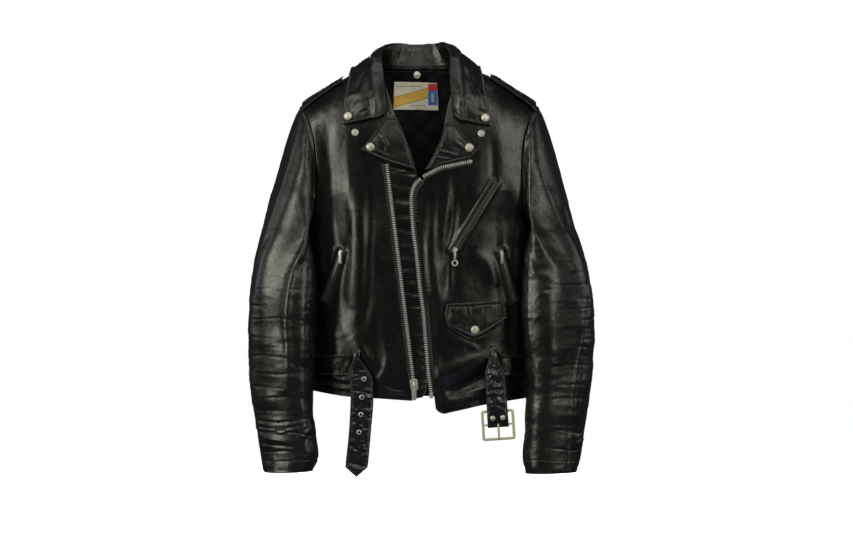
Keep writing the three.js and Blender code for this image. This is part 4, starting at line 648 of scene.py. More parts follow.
dc = dc - 0.9 * np.exp(-((ed - 6) / 1.2) ** 2) * smooth(0.28, 0.4, T_) + 1.0 * np.exp(-((ed - 2.6) / 2.0) ** 2) * smooth(0.28, 0.4, T_)
Pcd = Pc + Nc * dc[..., None]
put(sheet_mesh("collar_leather", Pcd, grid_normals(Pcd, ref=None) * np.sign((grid_normals(Pcd) * Nc).sum(-1, keepdims=True)), 2.4, M_COLLAR, mid=-1.2), "body", ["collar"])

# =====================================================================  lapels
def lapel(name, side_name, bottom, top, left, right, body, node_name, seed, s):
    def disp(x, z, u, v):
        d = 1.0 * vnoise(x / 24, z / 18, seed, 41) + 0.45 * vnoise(x / 10, z / 9, seed, 42) + 2.2 * np.sin(math.pi * np.clip(u, 0, 1)) * np.sin(math.pi * np.clip(v, 0, 1))
        for pts, w, h in LAPEL_FOLDS[s]: d = d + stroke(x, z, pts, w, h, "crease")
        return d
    b, t, l, r = curve(bottom), curve(top), curve(left), curve(right)
    us, vs = dense(90, 90), dense(90, 90); G = coons(b, t, l, r, us, vs); x, z = G[..., 0], G[..., 1]
    P, N = on_body(-1, x, z); e = edge_dist(P); dd = disp(x, z, us[:, None], vs[None, :])
    dd = dd * smooth(0, 9, e) - 0.9 * np.exp(-((e - 5.2) / 1.1) ** 2) + 1.0 * np.exp(-((e - 2.2) / 1.8) ** 2)
    roll = np.clip(us, 0, 1)[:, None] * 90  # distance from the roll edge, which turns down towards the body
    dd = dd - 2.2 * np.exp(-(roll / 4.5) ** 2)
    P = P + N * dd[..., None]
    ob = sheet_mesh(name, P, N, 2.3, M_COLLAR, mid=5.0)
    put(ob, body, [node_name]); return P, N, e
LAPEL_FOLDS = {-1: [(px([(395, 128), (404, 138), (410, 150)]), 5, 1.2), (px([(380, 132), (388, 145), (384, 158)]), 4, 0.9), (px([(368, 140), (378, 152), (396, 160)]), 5, 1.0)],
               1: [(px([(448, 130), (455, 142), (466, 150)]), 5, 1.2), (px([(430, 150), (444, 152), (458, 156)]), 3.6, 1.1), (px([(426, 156), (440, 158), (452, 160)]), 3, 0.9)]}
LP, LN, LE = lapel("left_lapel_leather", "left", [[10, -162], [20, -160], [38, -153], [56, -149], [74, -145], [92, -140], [108, -126]], [[45, -79], [67, -79]],
      [[10, -162], [38, -108], [45, -79]], [[108, -126], [86, -104], [67, -79]], "left_lapel_body", "left_lapel", 3, 1)
RP, RN, RE = lapel("right_lapel_leather", "right", [[-6, -162], [-63, -144], [-104, -126]], [[-38, -68], [-59, -68]],
      [[-6, -162], [-22, -108], [-38, -68]], [[-104, -126], [-82, -98], [-59, -68]], "right_lapel_body", "right_lapel", 4, -1)

# =====================================================================  epaulettes
EP = {}
for s, sn in ((1, "left"), (-1, "right")):
    inner = 130 if s > 0 else 140
    us, vs = dense(60, 80), dense(44, 40)
    U, W = us[:, None] + 0 * vs[None], vs[None] + 0 * us[:, None]
    x = inner + (211 - inner) * U; w0, w1 = -25 + 0 * U, 11 + 4 * U
    y = w0 + (w1 - w0) * W
    tip = 7 * (1 - np.abs(2 * W - 1)) * (1 - smooth(0, 0.35, U)); x = x - tip * (0.4 if s > 0 else 0.6)
    P = np.stack([s * x, y, top_z(x, y)], -1); N = grid_normals(P)
    if N[20, 20][2] < 0: N = -N
    e = edge_dist(P)
    d = 1.3 * np.sin(math.pi * W) * (0.6 + 0.4 * U) + 0.5 * vnoise(x / 14, y / 10, s, 51) + 0.25 * vnoise(x / 5, y / 5, s, 52)
    d = d * smooth(0, 7, e) - 0.5 * np.exp(-((e - 4.6) / 0.8) ** 2) + 0.45 * np.exp(-((e - 2) / 1.5) ** 2)
    P = P + N * d[..., None]
    put(sheet_mesh(sn + "_epaulette_leather", P, N, 2.3, M_COLLAR, mid=3.2), None, [sn + "_epaulette"], blend=("body", sn + "_epaulette_body", (s * 0.213, 0, -0.045), (s * 0.196, 0, -0.030)))
    EP[s] = (P, N)

# =====================================================================  sleeves
CAP = [[224, -2, -58, 191, -60, -160, 212.5, -3, -265.5, 201, 47, -155], [238, -5, -96, 195, -73, -186, 213, -13, -270, 216, 41, -180], [253, -8, -148, 203, -82, -220, 209.5, -36, -279, 226, 30, -216],
       [269, -14, -205, 214, -91, -257, 197.5, -62, -298, 232, 14, -262], [286, -22, -262, 229, -97, -300, 189, -77, -327, 234, -1, -308]]
TUBE = {1: [[303, -330, 186, -352, -58, 45, 27], [316, -396, 184, -400, -62, 44, 27], [319, -450, 186, -450, -64, 43, 27], [315, -520, 189, -520, -66, 41, 25], [304, -590, 192, -590, -68, 39, 22], [291, -648, 191, -648, -70, 37, 20], [293, -676, 183, -679, -70, 38, 18], [284, -706, 190, -708, -71, 38, 18]],
        -1: [[297, -330, 183, -352, -58, 45, 27], [306, -396, 184, -400, -62, 44, 27], [307, -450, 186, -450, -64, 43, 27], [306, -520, 188, -520, -66, 41, 25], [300, -590, 189, -590, -68, 39, 22], [289, -648, 180, -648, -70, 38, 20], [286, -676, 176, -679, -70, 39, 18], [278, -706, 190, -704, -71, 39, 18]]}
def cardinals(row):
    if len(row) == 12: return np.array(row, float).reshape(4, 3)
    ox, oz, ix, iz, cy, b, yaw = row; e = np.array([ox - ix, 0, oz - iz], float); hx = np.linalg.norm(e) / 2; e = e / (2 * hx)
    be = math.radians(yaw); sb, cb = math.sin(be), math.cos(be); a = math.sqrt(hx * hx - (b * sb) ** 2) / cb
    C = np.array([(ox + ix) / 2, cy, (oz + iz) / 2]); A = e * cb + np.array([0, sb, 0]); K = -e * sb + np.array([0, cb, 0])
    return np.array([C + A * a, C - K * b, C - A * a, C + K * b])
def sleeve_base(s, phi, k):
    """phi in degrees (0 outer, 90 front, 180 inner, 270 back), k ring number 0 at the armhole to 13 at the cuff; arrays of equal shape."""
    phi, k = np.broadcast_arrays(np.asarray(phi, float) % 360, np.asarray(k, float))
    cards = np.array([cardinals(r) for r in CAP + TUBE[s]])
    # the armhole ring expressed on the same footing
    f = np.radians(phi); z0 = (ARMPIT_Z + TIP_Z) / 2 + (TIP_Z - ARMPIT_Z) / 2 * np.cos(f); fr = phi <= 180
    x0 = np.where(fr, arm_front(z0), arm_back(z0)); d0 = np.where(fr, -depth(-1, x0, z0), depth(1, x0, z0)); arm = np.stack([x0 + 0.6, d0, z0], -1)
    tab = track(np.c_[np.arange(1, 14), cards.reshape(13, 12)]); c = tab(np.maximum(k, 1)).reshape(k.shape + (4, 3))
    q = np.clip((phi // 90).astype(int), 0, 3); g = np.radians(phi - 90 * q)
    a = np.take_along_axis(c, q[..., None, None].repeat(3, -1), -2)[..., 0, :]; b = np.take_along_axis(c, ((q + 1) % 4)[..., None, None].repeat(3, -1), -2)[..., 0, :]
    C = c.mean(-2); n = np.where(q == 2, 1.8, 2.3)
    P = C + (a - C) * (np.cos(g) ** (2 / n))[..., None] + (b - C) * (np.clip(np.sin(g), 0, 1) ** (2 / n))[..., None]
    # blend ring 0 -> 1, easing so that the crown rounds over
    t = np.clip(k, 0, 1)[..., None]; P = np.where(k[..., None] < 1, arm * (1 - t) + P * t, P)
    return P
def mirror(s, P): return P * np.array([s, 1, 1.0])
def sm(P, wrap, n):  # light smoothing of the base grid along both directions
    for _ in range(n):
        Q = P.copy(); Q[:, 1:-1] = 0.25 * P[:, :-2] + 0.5 * P[:, 1:-1] + 0.25 * P[:, 2:]
        if wrap: Q = 0.25 * np.roll(Q, 1, 0) + 0.5 * Q + 0.25 * np.roll(Q, -1, 0)
        P = Q
    return P
SL = {}
SEAM_X = {1: [(-720, 270), (-650, 271.5), (-576, 276), (-513, 285), (-440, 300), (-378, 307), (-300, 298), (-200, 268)], -1: [(-720, 262), (-650, 272), (-576, 282), (-500, 290), (-400, 292), (-300, 276), (-200, 255)]}
SEAM_PH = {}
def sleeve_disp(s, ph, P):
    x, z = np.abs(P[..., 0]), P[..., 2]; S = ph * 0.96  # mm round the tube
    front = np.exp(-(((ph - 95) / 75) ** 4))
    lo = smooth(-150, -240, z)  # smoother near the crown
    d = 2.6 * vnoise(S / 60, z / 105, s, 61) * (0.5 + 0.5 * lo) + 1.3 * vnoise(S / 36, z / 26, s, 62) * lo
    arm = smooth(-250, -330, z) * (1 - 0.4 * smooth(-610, -660, z))
    d = d + arm * (0.42 * vnoise(S / 38, z / 11, s, 63) + 0.22 * vnoise(S / 17, z / 6, s, 64)) + 0.16 * vnoise(S / 7, z / 7, s, 65)
    for pts, w, h, kind in SL_STROKES[s]: d = d + stroke(S, z, [(a * 0.96, b) for a, b in pts], w * (0.62 if kind == "crease" else 1), h * (0.42 if kind == "crease" and abs(h) < 1.95 else 0.62 if kind == "crease" else 1), kind)
    d = d * (1 - 0.9 * smooth(-700, -708, z)) - 0.7 * np.exp(-((z + 684 + 2.5 * np.cos(np.radians(ph))) / 1.0) ** 2)   # cuff hem stitch groove
    return d
zz = lambda y: (80 - y) * 1.8
SL_STROKES = {
 -1: [([(122, zz(140)), (121, zz(190)), (117, zz(235)), (119, zz(280)), (115, zz(320)), (118, zz(350)), (116, zz(392))], 7.5, 4.2, "ridge"), ([(95, zz(170)), (92, zz(250)), (96, zz(330))], 14, -2.6, "ridge"), ([(62, zz(150)), (60, zz(220)), (66, zz(300))], 12, 1.8, "ridge"),
      ([(150, zz(290)), (152, zz(340)), (152, zz(380)), (150, zz(430))], 16, 1.6, "ridge"), ([(30, zz(130)), (36, zz(190)), (40, zz(250))], 8, 2.2, "ridge")]
     + [([(a, zz(y)), ((a + b) / 2, zz(y + dy)), (b, zz(y + e))], w, h, "crease") for y, a, b, dy, e, w, h in
        ((275, 30, 120, 2, 1, 4.5, -1.5), (289, 60, 150, -1, 2, 4, -1.1), (303, 20, 115, 3, 1, 5, -1.7), (320, 40, 160, -2, 1, 4.5, -1.6), (335, 15, 100, 2, 3, 5, -1.6), (346, 70, 165, 2, 0, 4, -1.2), (357, 20, 130, -2, 1, 5, -1.7), (372, 40, 160, 2, -1, 4.5, -1.5), (385, 15, 110, 1, 3, 5, -1.6), (398, 50, 165, -2, 1, 4.5, -1.4), (408, 20, 120, 2, 2, 4, -1.2),
         (419, 15, 165, 3, -2, 6, -2.4), (427, 25, 160, 4, -3, 5, 2.2), (433, 30, 170, -3, 3, 5, -2.2), (441, 20, 120, 3, 5, 5, -1.6), (452, 40, 150, -2, 2, 4.5, -1.3))]
     + [([(20, zz(425)), (60, zz(437)), (110, zz(441))], 4.5, 2.2, "ridge"), ([(120, zz(438)), (150, zz(430)), (170, zz(424))], 4.5, 2.0, "ridge")]
     + [([(a, zz(452)), (a + 2, zz(462)), (a, zz(471))], 2.2, 0.9, "crease") for a in (35, 48, 60, 73, 85, 98, 112, 126, 140)],
  1: [([(163, zz(138)), (166, zz(190)), (168, zz(270)), (166, zz(360))], 9, 2.4, "ridge"), ([(138, zz(150)), (134, zz(210)), (132, zz(280))], 12, -2.6, "ridge"), ([(112, zz(165)), (106, zz(220)), (100, zz(270))], 9, 3.2, "ridge"),
      ([(88, zz(170)), (84, zz(240)), (84, zz(300))], 12, -2.0, "ridge"), ([(60, zz(160)), (56, zz(215)), (52, zz(270))], 9, 2.4, "ridge"), ([(120, zz(290)), (116, zz(350)), (118, zz(420))], 14, 2.2, "ridge"),
      ([(75, zz(300)), (70, zz(360)), (64, zz(430))], 12, 1.8, "ridge"), ([(28, zz(205)), (34, zz(225)), (44, zz(245))], 7, -2.4, "ridge")]
     + [([(a, zz(y)), ((a + b) / 2, zz(y + dy)), (b, zz(y + e))], w, h, "crease") for y, a, b, dy, e, w, h in
        ((268, 15, 90, 3, 6, 5, -1.5), (282, 30, 120, 3, 2, 5, -1.4), (296, 10, 80, 3, 2, 5, -1.8), (306, 20, 110, 2, 3, 4.5, -1.5), (317, 8, 75, 2, 3, 5, -2.0), (326, 10, 95, 3, 1, 4.5, -1.7), (336, 8, 80, 2, 4, 5, -1.9), (345, 12, 100, 2, 0, 4.5, -1.6), (353, 10, 85, 3, 2, 5, -1.7), (366, 30, 140, -2, 2, 5, -1.3), (382, 15, 110, 2, 2, 5, -1.3), (398, 40, 150, -1, 2, 5, -1.2),
         (415, 15, 120, 2, 2, 5, -1.3), (430, 10, 100, 3, -2, 5, -1.7), (441, 8, 60, -3, 2, 4, 2.0), (447, 10, 120, 3, -1, 5, -1.5))]
     + [([(a, zz(454)), (a + 2, zz(464)), (a, zz(472))], 2.2, 0.8, "crease") for a in (40, 55, 70, 85, 100, 115, 130, 150)]}
SL_SEAM = {1: [(48, zz(300)), (52, zz(340)), (60, zz(400)), (58, zz(450)), (56, zz(474))], -1: None}
for s, sn in ((1, "left"), (-1, "right")):
    nph, nk = 200, 360
    ph = np.arange(nph) * 360 / nph
    ks = np.concatenate([np.linspace(0, 1, 26)[:-1], np.linspace(1, 6, 120)[:-1], np.linspace(6, 13, nk - 145)]); ks = np.concatenate([ks[:1], [0.006, 0.02], ks[1:-1], [12.975, 12.99, 12.997, 13]])
    PH, K = ph[:, None] + 0 * ks[None], ks[None] + 0 * ph[:, None]
    P = sleeve_base(s, PH, K); first = P[:, 0].copy()
    P = sm(P, True, 10); Q_ = P.copy()
    for _ in range(420): Q_[:, 1:-1] = 0.25 * Q_[:, :-2] + 0.5 * Q_[:, 1:-1] + 0.25 * Q_[:, 2:]
    wq = smooth(1.0, 3.0, K)[..., None]; P = P * (1 - wq) + Q_ * wq; P[:, 0] = first
    for j in (1, 2): P[:, j] = first * (1 - ks[j] / ks[3]) + P[:, 3] * ks[j] / ks[3]
    P = mirror(s, P); N = grid_normals(P, True)
    if (N[nph // 4, 200][1]) > 0: N = -N
    arm_fade = smooth(0.0, 0.5, K)
    D = sleeve_disp(s, PH, P) * arm_fade
    crown = np.exp(-((PH - np.where(PH > 180, 360, 0)) / 60) ** 2)
    D = D + 2.0 * np.exp(-((K - 0.22) / 0.22) ** 2) * crown - 1.2 * (1 - smooth(0, 0.09, K))  # eased crown rolls out of the armhole seam
    D = np.minimum(D, 1.5 + 7.5 * (1 - smooth(132, 172, PH) * (1 - smooth(282, 310, PH)) * (1 - smooth(6.0, 10.5, K))))
    # two-piece sleeve: the front seam is a ridge with a groove beside it, the back seam a plain groove
    zt, xt = zip(*SEAM_X[s]); m = (ph > 4) & (ph < 150); front = np.array([ph[m][np.argmin(np.abs(np.abs(P[m, j, 0]) - np.interp(P[m, j, 2].mean(), zt, xt)))] for j in range(len(ks))])
    front = np.convolve(np.pad(front, 12, mode="edge"), np.ones(25) / 25, "valid")
    E_ = ((PH - front[None] + 180) % 360 - 180) * 0.96; on = smooth(4.6, 6.2, K) * (1.0 if s > 0 else 0.0)
    D = D + on * (1.3 * np.exp(-((E_ - 1.6) / 1.9) ** 2) - 1.0 * np.exp(-((E_ + 1.0) / 1.1) ** 2))
    e = ((PH - 240 + 180) % 360 - 180) * 0.96; D = D - 1.0 * np.exp(-(e / 1.1) ** 2) * smooth(1.5, 3, K)
    SEAM_PH[s] = front
    Pd = P + N * D[..., None]
    Nd = grid_normals(Pd, True); Nd = Nd * np.sign((Nd * N).sum(-1, keepdims=True))
    Nd[:, :3] = N[:, :3]
    put(sheet_mesh(sn + "_sleeve_leather", Pd, Nd, 2.4, M_SLEEVE, wrap=True, mid=-1.2), None, [sn + "_sleeve"], blend=("body", sn + "_arm", (s * 0.196, 0, -0.14), (s * 0.236, 0, -0.16)))
    SL[s] = (Pd, Nd, ph, ks, P)
    # lining tube
    Q = P[::2, 3::2]; NQ = N[::2, 3::2]; k2 = ks[3::2]
    Q = Q[:, k2 > 0.2]; NQ = NQ[:, k2 > 0.2]
    lin = -6.5 + 0.7 * vnoise(ph[::2][:, None] / 14, Q[..., 2] / 30, s, 71)
    Q = Q + NQ * lin[..., None]; Q[:, -1, 2] += 8; Q[:, -2, 2] += 6; Q[:, -3, 2] += 3
    put(sheet_mesh(sn + "_sleeve_lining_cloth", Q, NQ, 1.0, M_LINING, wrap=True, edge_r=0.6), None, [sn + "_sleeve_lining"], blend=("body", sn + "_arm", (s * 0.196, 0, -0.14), (s * 0.236, 0, -0.16)))

# =====================================================================  body lining, label, pocket bags
def lining():
    n1, n2 = 60, 120
    fr = np.sin(math.pi / 2 * np.linspace(0, 1, n1 + 1)); bk = -np.cos(math.pi * np.linspace(0, 1, n2 + 1))
    zs = np.concatenate([np.linspace(-552, -272, 120), np.linspace(-269, 26, 130)])
    cols_x, cols_side = [], []
    ze = np.minimum(zs, -80)
    for k in range(n1): x0 = np.maximum(left_edge(ze) + 12, 12); cols_x.append(x0 + (SIDE_X - x0) * fr[k]); cols_side.append(-1)
    for k in range(n2, -1, -1): cols_x.append(bk[k] * SIDE_X + 0 * zs); cols_side.append(1)
    for k in range(n1 - 1, -1, -1): x0 = -right_edge(ze) + 12; cols_x.append(-(x0 + (SIDE_X - x0) * fr[k])); cols_side.append(-1)
    X = np.array(cols_x); sd = np.array(cols_side)[:, None] + 0 * X; Z = zs[None] + 0 * X
    Pf, Nf = on_body(-1, X, Z); Pb, Nb = on_body(1, X, Z)
    P = np.where(sd[..., None] < 0, Pf, Pb); N = np.where(sd[..., None] < 0, Nf, Nb)
    at = (np.abs(np.abs(X) - SIDE_X) < 0.01) & (Z < ARMPIT_Z); P[at, 1] = 0; N[at] = np.stack([np.sign(X[at]), 0 * X[at], 0 * X[at]], -1)
    U = np.cumsum(np.r_[0, np.linalg.norm(np.diff(P[:, 60], axis=0), axis=1)])[:, None] + 0 * X
    q = 44.0  # quilting diamonds
    a, b = (U + Z) / q, (U - Z) / q
    quilt = np.abs(np.sin(math.pi * a)) ** 0.5 * np.abs(np.sin(math.pi * b)) ** 0.5
    d = -(quilt * 2.6) - 9.2 + 0.5 * vnoise(U / 30, Z / 30, 0, 81)
    P = P + N * d[..., None]
    # cells kept
    nu, nv = X.shape; back2 = np.zeros(nu - 1, bool); back2[n1:n1 + n2] = True
    zt = Z[0, 1:]; ax = np.maximum(np.abs(X[:-1, 1:]), np.abs(X[1:, 1:]))
    keep = np.ones((nu - 1, nv - 1), bool)
    keep &= ~((zt[None] > -100) & ~back2[:, None])
    keep &= ~((zt[None] > ARMPIT_Z) & (ax > 174)); keep &= ~((zt[None] > -20) & (ax > 112)); keep &= ~((zt[None] > 12) & (ax > 70))
    # largest connected sheet is all of it; build closed shell with walls
    T = 0.9; idx = np.arange(nu * nv).reshape(nu, nv); o = (P + N * T / 2).reshape(-1, 3); i_ = (P - N * T / 2).reshape(-1, 3)
    used = np.zeros((nu, nv), bool); kk = keep
    used[:-1, :-1] |= kk; used[1:, :-1] |= kk; used[1:, 1:] |= kk; used[:-1, 1:] |= kk
    new = -np.ones(nu * nv, int); m = used.ravel(); new[m] = np.arange(m.sum()); cnt = int(m.sum())
    A = np.stack([idx[:-1, :-1], idx[1:, :-1], idx[1:, 1:], idx[:-1, 1:]], -1)[kk]
    fo = new[A]; fi = new[A][:, ::-1] + cnt
    kp = np.pad(kk, 1); walls = []
    c = np.stack([idx[:-1, :-1], idx[1:, :-1], idx[1:, 1:], idx[:-1, 1:]], -1)
    for (e0, e1), nb in (((0, 1), kp[1:-1, :-2]), ((1, 2), kp[2:, 1:-1]), ((2, 3), kp[1:-1, 2:]), ((3, 0), kp[:-2, 1:-1])):
        w = c[kk & ~nb]; a_, b_ = new[w[:, e0]], new[w[:, e1]]; walls.append(np.stack([b_, a_, a_ + cnt, b_ + cnt], -1))
    F = np.concatenate([fo, fi] + walls)
    V_ = np.concatenate([o[m], i_[m]])
    ob = new_object("quilted_body_lining", V_, F, M_LINING)
    bm = bmesh.new(); bm.from_mesh(ob.data); bmesh.ops.recalc_face_normals(bm, faces=bm.faces[:]); bm.to_mesh(ob.data); bm.free(); ob.data.shade_smooth()
    return ob
put(lining(), "body", ["body_lining"])
ob, _ = patch("neck_label_cloth", 1, [[-48, -46], [36, -48]], [[-49, 7], [35, 4]], [[-48, -46], [-49, 7]], [[36, -48], [35, 4]], 44, 30, -15.5, 0.9, M_LABEL,
              lambda x, z, u, v: 0.5 * vnoise(x / 16, z / 14, 0, 91) + 0.25 * vnoise(x / 5, z / 6, 0, 92), (83, 52))
put(ob, "body", ["neck_label"])
for nm, bt, tp, lf, rt in (("chest_pocket_bag", [[62, -314], [150, -314]], [[70, -215], [146, -180]], [[62, -314], [64, -280], [70, -215]], [[150, -314], [152, -250], [146, -180]]),
                           ("left_hand_pocket_bag", [[96, -470], [172, -456]], [[110, -348], [168, -324]], [[96, -470], [98, -400], [110, -348]], [[172, -456], [176, -400], [168, -324]]),
                           ("right_hand_pocket_bag", [[-172, -456], [-96, -470]], [[-168, -318], [-110, -345]], [[-172, -456], [-176, -400], [-168, -318]], [[-96, -470], [-98, -400], [-110, -345]])):
    ob, _ = patch(nm + "_cloth", -1, bt, tp, lf, rt, 40, 50, -6.6, 1.6, M_COTTON, lambda x, z, u, v: 0.35 * vnoise(x / 18, z / 22, 0, 93), (90, 130))
    put(ob, "body", [nm])

# =====================================================================  coin pocket and flap
def coin(name, rows, mid, amp, seed, node_name, body):
    bt, tp, lf, rt = rows
    def disp(x, z, u, v):
        d = amp * np.sin(math.pi * u) ** 0.5 * np.sin(math.pi * v) ** 0.5 + 0.5 * vnoise(x / 13, z / 10, seed, 95)
        edge = np.minimum(np.minimum(u, 1 - u) * 100, np.minimum(v, 1 - v) * 50)
        pk = 1.1 * vnoise(x / 5.0, z / 16, seed, 96) * np.exp(-((edge - 9) / 7) ** 2)
        return (d + pk) * smooth(0, 9, edge) + 1.5 * np.exp(-((edge - 2.4) / 2.2) ** 2) - 0.9 * np.exp(-((edge - 6.4) / 1.1) ** 2)
    ob, g = patch(name, -1, bt, tp, lf, rt, 110, 60, mid, 2.2, M_COLLAR, disp, (100, 55)); put(ob, body, [node_name]); return g
coin("coin_pocket_leather", ([[53, -447], [100, -470], [153, -436]], [[52, -409], [145, -404]], [[53, -447], [52, -409]], [[153, -436], [145, -404]]), 2.0, 0.5, 1, "coin_pocket", "body")
FLAP = ([[49, -441], [75, -453.5], [94, -463], [99, -464.5], [104, -463], [132, -446], [158, -427]], [[50, -403], [98, -399.5], [146, -398]], [[49, -441], [46, -424], [50, -403]], [[158, -427], [155, -410], [146, -398]])
Gf, Pf, Nf = coin("coin_flap_leather", FLAP, 5.6, 1.3, 2, "coin_pocket_flap", "coin_flap")

# =====================================================================  belt band, loops, tail, buckle strap
def ring_point(deg, z, off):
    a = np.radians(deg); c, s_ = np.cos(a), np.sin(a); w = half_w(z); side = np.where(s_ < 0, -1, 1); d = np.where(s_ < 0, side_depth(-1, z), side_depth(1, z))
    x = w * np.sign(c) * np.abs(c) ** (2 / SN); y = d * side * np.abs(s_) ** (2 / SN)
    n = unit(np.stack([np.sign(x) * np.abs(x / w) ** (SN - 1) / w, np.sign(y) * np.abs(y / d) ** (SN - 1) / d, 0 * x], -1))
    return np.stack([x, y, z + 0 * x], -1) + n * np.asarray(off)[..., None], n
us = np.linspace(0, 1, 360); vs = dense(22, 38)
deg = (239.5 + (-49.5 - 239.5) * us) % 360; DG = deg[:, None] + 0 * vs[None]; Zb = (-533 + 38 * vs)[None] + 0 * DG
e = np.minimum(vs, 1 - vs)[None] * 38 + 0 * DG
S_ = us[:, None] * 900 + 0 * DG
off = 3.2 + 0.5 * np.sin(math.pi * vs)[None] + 1.3 * np.exp(-((e - 1.8) / 2.0) ** 2) + 0.6 * vnoise(S_ / 22, Zb / 12, 0, 101) + 0.35 * vnoise(S_ / 7, Zb / 8, 0, 102) - 0.5 * np.exp(-((e - 4) / 0.8) ** 2)
P, N = ring_point(DG, Zb, off)
put(sheet_mesh("belt_band_leather", P, N, 2.3, M_BODY), "body", ["belt_back"])
BELT_P, BELT_N, BELT_V = P, N, vs
for name, side, x, tilt in (("right_front_belt_loop", -1, -113, 7), ("left_front_belt_loop", -1, 135, -5), ("right_back_belt_loop", 1, -115, 0), ("left_back_belt_loop", 1, 115, 0)):
    prof = track([[-551, 1.6], [-543, 2.0], [-538.5, 5.7], [-514, 6.2], [-489.5, 5.5], [-485, 2.0], [-477, 1.6]])
    us, vs = dense(14, 12), dense(60, 74); z = -551 + 74 * vs
    base, n = on_body(side, np.array(float(x)), np.array(-514.0)); n = n.copy(); n[2] = 0; n = n / np.linalg.norm(n); t = np.cross(n, [0, 0, 1])
    dx = (us - 0.5) * 12
    P = base[None, None] + t * dx[:, None, None] + n * (prof(z)[None] + 0.4 * np.sin(math.pi * us)[:, None] + 0.12 * vnoise(z[None] / 9, us[:, None] * 2, 0, 103))[..., None]
    P[..., 2] = z[None]; P[..., 0] += tilt * (z[None] + 514) / 74 * (1 if side < 0 else 0)
    N = grid_normals(P, ref=n)
    put(sheet_mesh(name + "_leather", P, N, 2.0, M_BELT_PAINTED_BLUE_SHEEN), "body", [name])
    if side > 0 and x > 0: pass

TAIL_Y = float(-depth(-1, np.array(84.0), np.array(-520.0)) - 8.6)
def crinkle(x, z, seed, a=1.0):
    d = a * (1.25 * vnoise(x / 12 + z / 26, z / 6.2, seed, 111) + 0.5 * vnoise(x / 7 - z / 25, z / 3.6, seed, 112) + 0.8 * vnoise(x / 30, z / 16, seed, 113))
    return d
def strap_sheet(name, left, right, n_u, n_v, y_mid, T, mat, cr, seed, tip=0.0):
    l, r = curve(left), curve(right); us, vs = dense(n_u, 40), dense(n_v, 215)
    A, B_ = l(vs)[None], r(vs)[None]; G = A * (1 - us[:, None, None]) + B_ * us[:, None, None]
    x, z = G[..., 0], G[..., 1]; z = z - tip * (1 - np.abs(2 * us - 1))[:, None] * (1 - smooth(0, 0.10, vs))[None]
    P = np.stack([x, y_mid + 0 * x, z], -1); e = edge_dist(P)
    d = cr * crinkle(x, z, seed) * smooth(1.0, 7, e) + 0.5 * np.exp(-((e - 1.8) / 1.4) ** 2) - 0.6 * np.exp(-((e - 4.2) / 0.8) ** 2)
    N = np.zeros_like(P); N[..., 1] = -1; P = P + N * d[..., None]
    N2 = grid_normals(P, ref=np.array([0, -1, 0])); return P, N2, e, x, z
P, N, e, x, z = strap_sheet("tail", [[-133, -697], [-126, -630], [-123, -569], [-122, -513], [-117, -502]], [[-92, -697], [-86, -630], [-82, -569], [-84, -540], [-106, -501.5]], 60, 300, TAIL_Y - 1.3, 2.4, M_BELT_PAINTED_BLUE_SHEEN, 1.0, 5, tip=18)
# press the leather down round the eyelets
EYES = [(-99, -538), (-103, -571), (-104.5, -602), (-108, -634)]
press = 1.15 - 1.0 * smooth(-535, -512, z)
for ex, ez in EYES: press = press * (1 - np.exp(-(((x - ex) ** 2 + (z - ez) ** 2) / 70)))
P[..., 1] = (TAIL_Y - 1.3) + (P[..., 1] - (TAIL_Y - 1.3)) * press
N = grid_normals(P, ref=np.array([0, -1, 0]))
put(sheet_mesh("belt_tail_leather", P, N, 2.4, M_BELT_PAINTED_BLUE_SHEEN), "belt_tail_body", ["belt_tail"])
TAILP, TAILN = P, N
bag = Bag()
for ex, ez in EYES:
    for sgn in (-1, 1):
        bm = bm_lathe([(2.3, -0.2), (2.3, 0.75), (2.7, 1.15), (3.6, 1.1), (4.5, 0.55), (4.7, 0.0), (4.4, -0.2)], 28, closed=True)
        bag.add_bm(bm, frame_at((ex, TAIL_Y - 1.3 - 1.25 * (1 if sgn < 0 else -1), ez), (0, sgn, 0)))
    bm = bm_lathe([(0, -1.0), (2.35, -1.0), (2.35, 1.0), (0, 1.0)], 20); dark = Bag(); dark.add_bm(bm, frame_at((ex, TAIL_Y - 1.3, ez), (0, -1, 0)))
ob = bag.make("belt_tail_eyelets", M_NICKEL, 40); put(ob, "belt_tail_body")

SX, SY, SZ, ROT = 142.5, float(-depth(-1, np.array(118.0), np.array(-520.0)) - 13.2), -620.0, math.radians(-3.8)
BK = Matrix.Translation((SX, SY, SZ)) @ Matrix.Rotation(ROT, 4, "Y")
BKn = np.array(BK)
def to_bk(P): return P @ BKn[:3, :3].T + BKn[:3, 3]
# strap: front layer, turn round the bar, short back layer, as one sheet path
r0, T = 2.9, 2.2; rm = r0 + T / 2
path = [(-rm, z_) for z_ in np.linspace(122, 4, 90)] + [(-rm * math.cos(a), -rm * math.sin(a)) for a in np.linspace(0, math.pi, 22)] + [(rm, z_) for z_ in np.linspace(2, 19, 16)]
path = np.array(path); us = dense(56, 38); vsn = len(path)
sdist = np.r_[0, np.cumsum(np.linalg.norm(np.diff(path, axis=0), axis=1))]
W0 = np.interp(path[:, 1], [-6, 92, 122], [19, 18.2, 4.8]); W0[90:] = 19; X = (us[:, None] * 2 - 1) * W0[None]; X = X + np.where(np.arange(vsn) < 90, np.interp(path[:, 1], [-6, 90, 122], [0, 0, -3]), 0)[None]
P = np.stack([X, path[None, :, 0] + 0 * X, path[None, :, 1] + 0 * X], -1); N = grid_normals(P, ref=None)
if N[20, 20][1] > 0: N = -N
e = edge_dist(P); cr = crinkle(X, path[None, :, 1] + 0 * X, 9) * smooth(1, 8, e) * smooth(16, 34, path[:, 1])[None] * 1.1
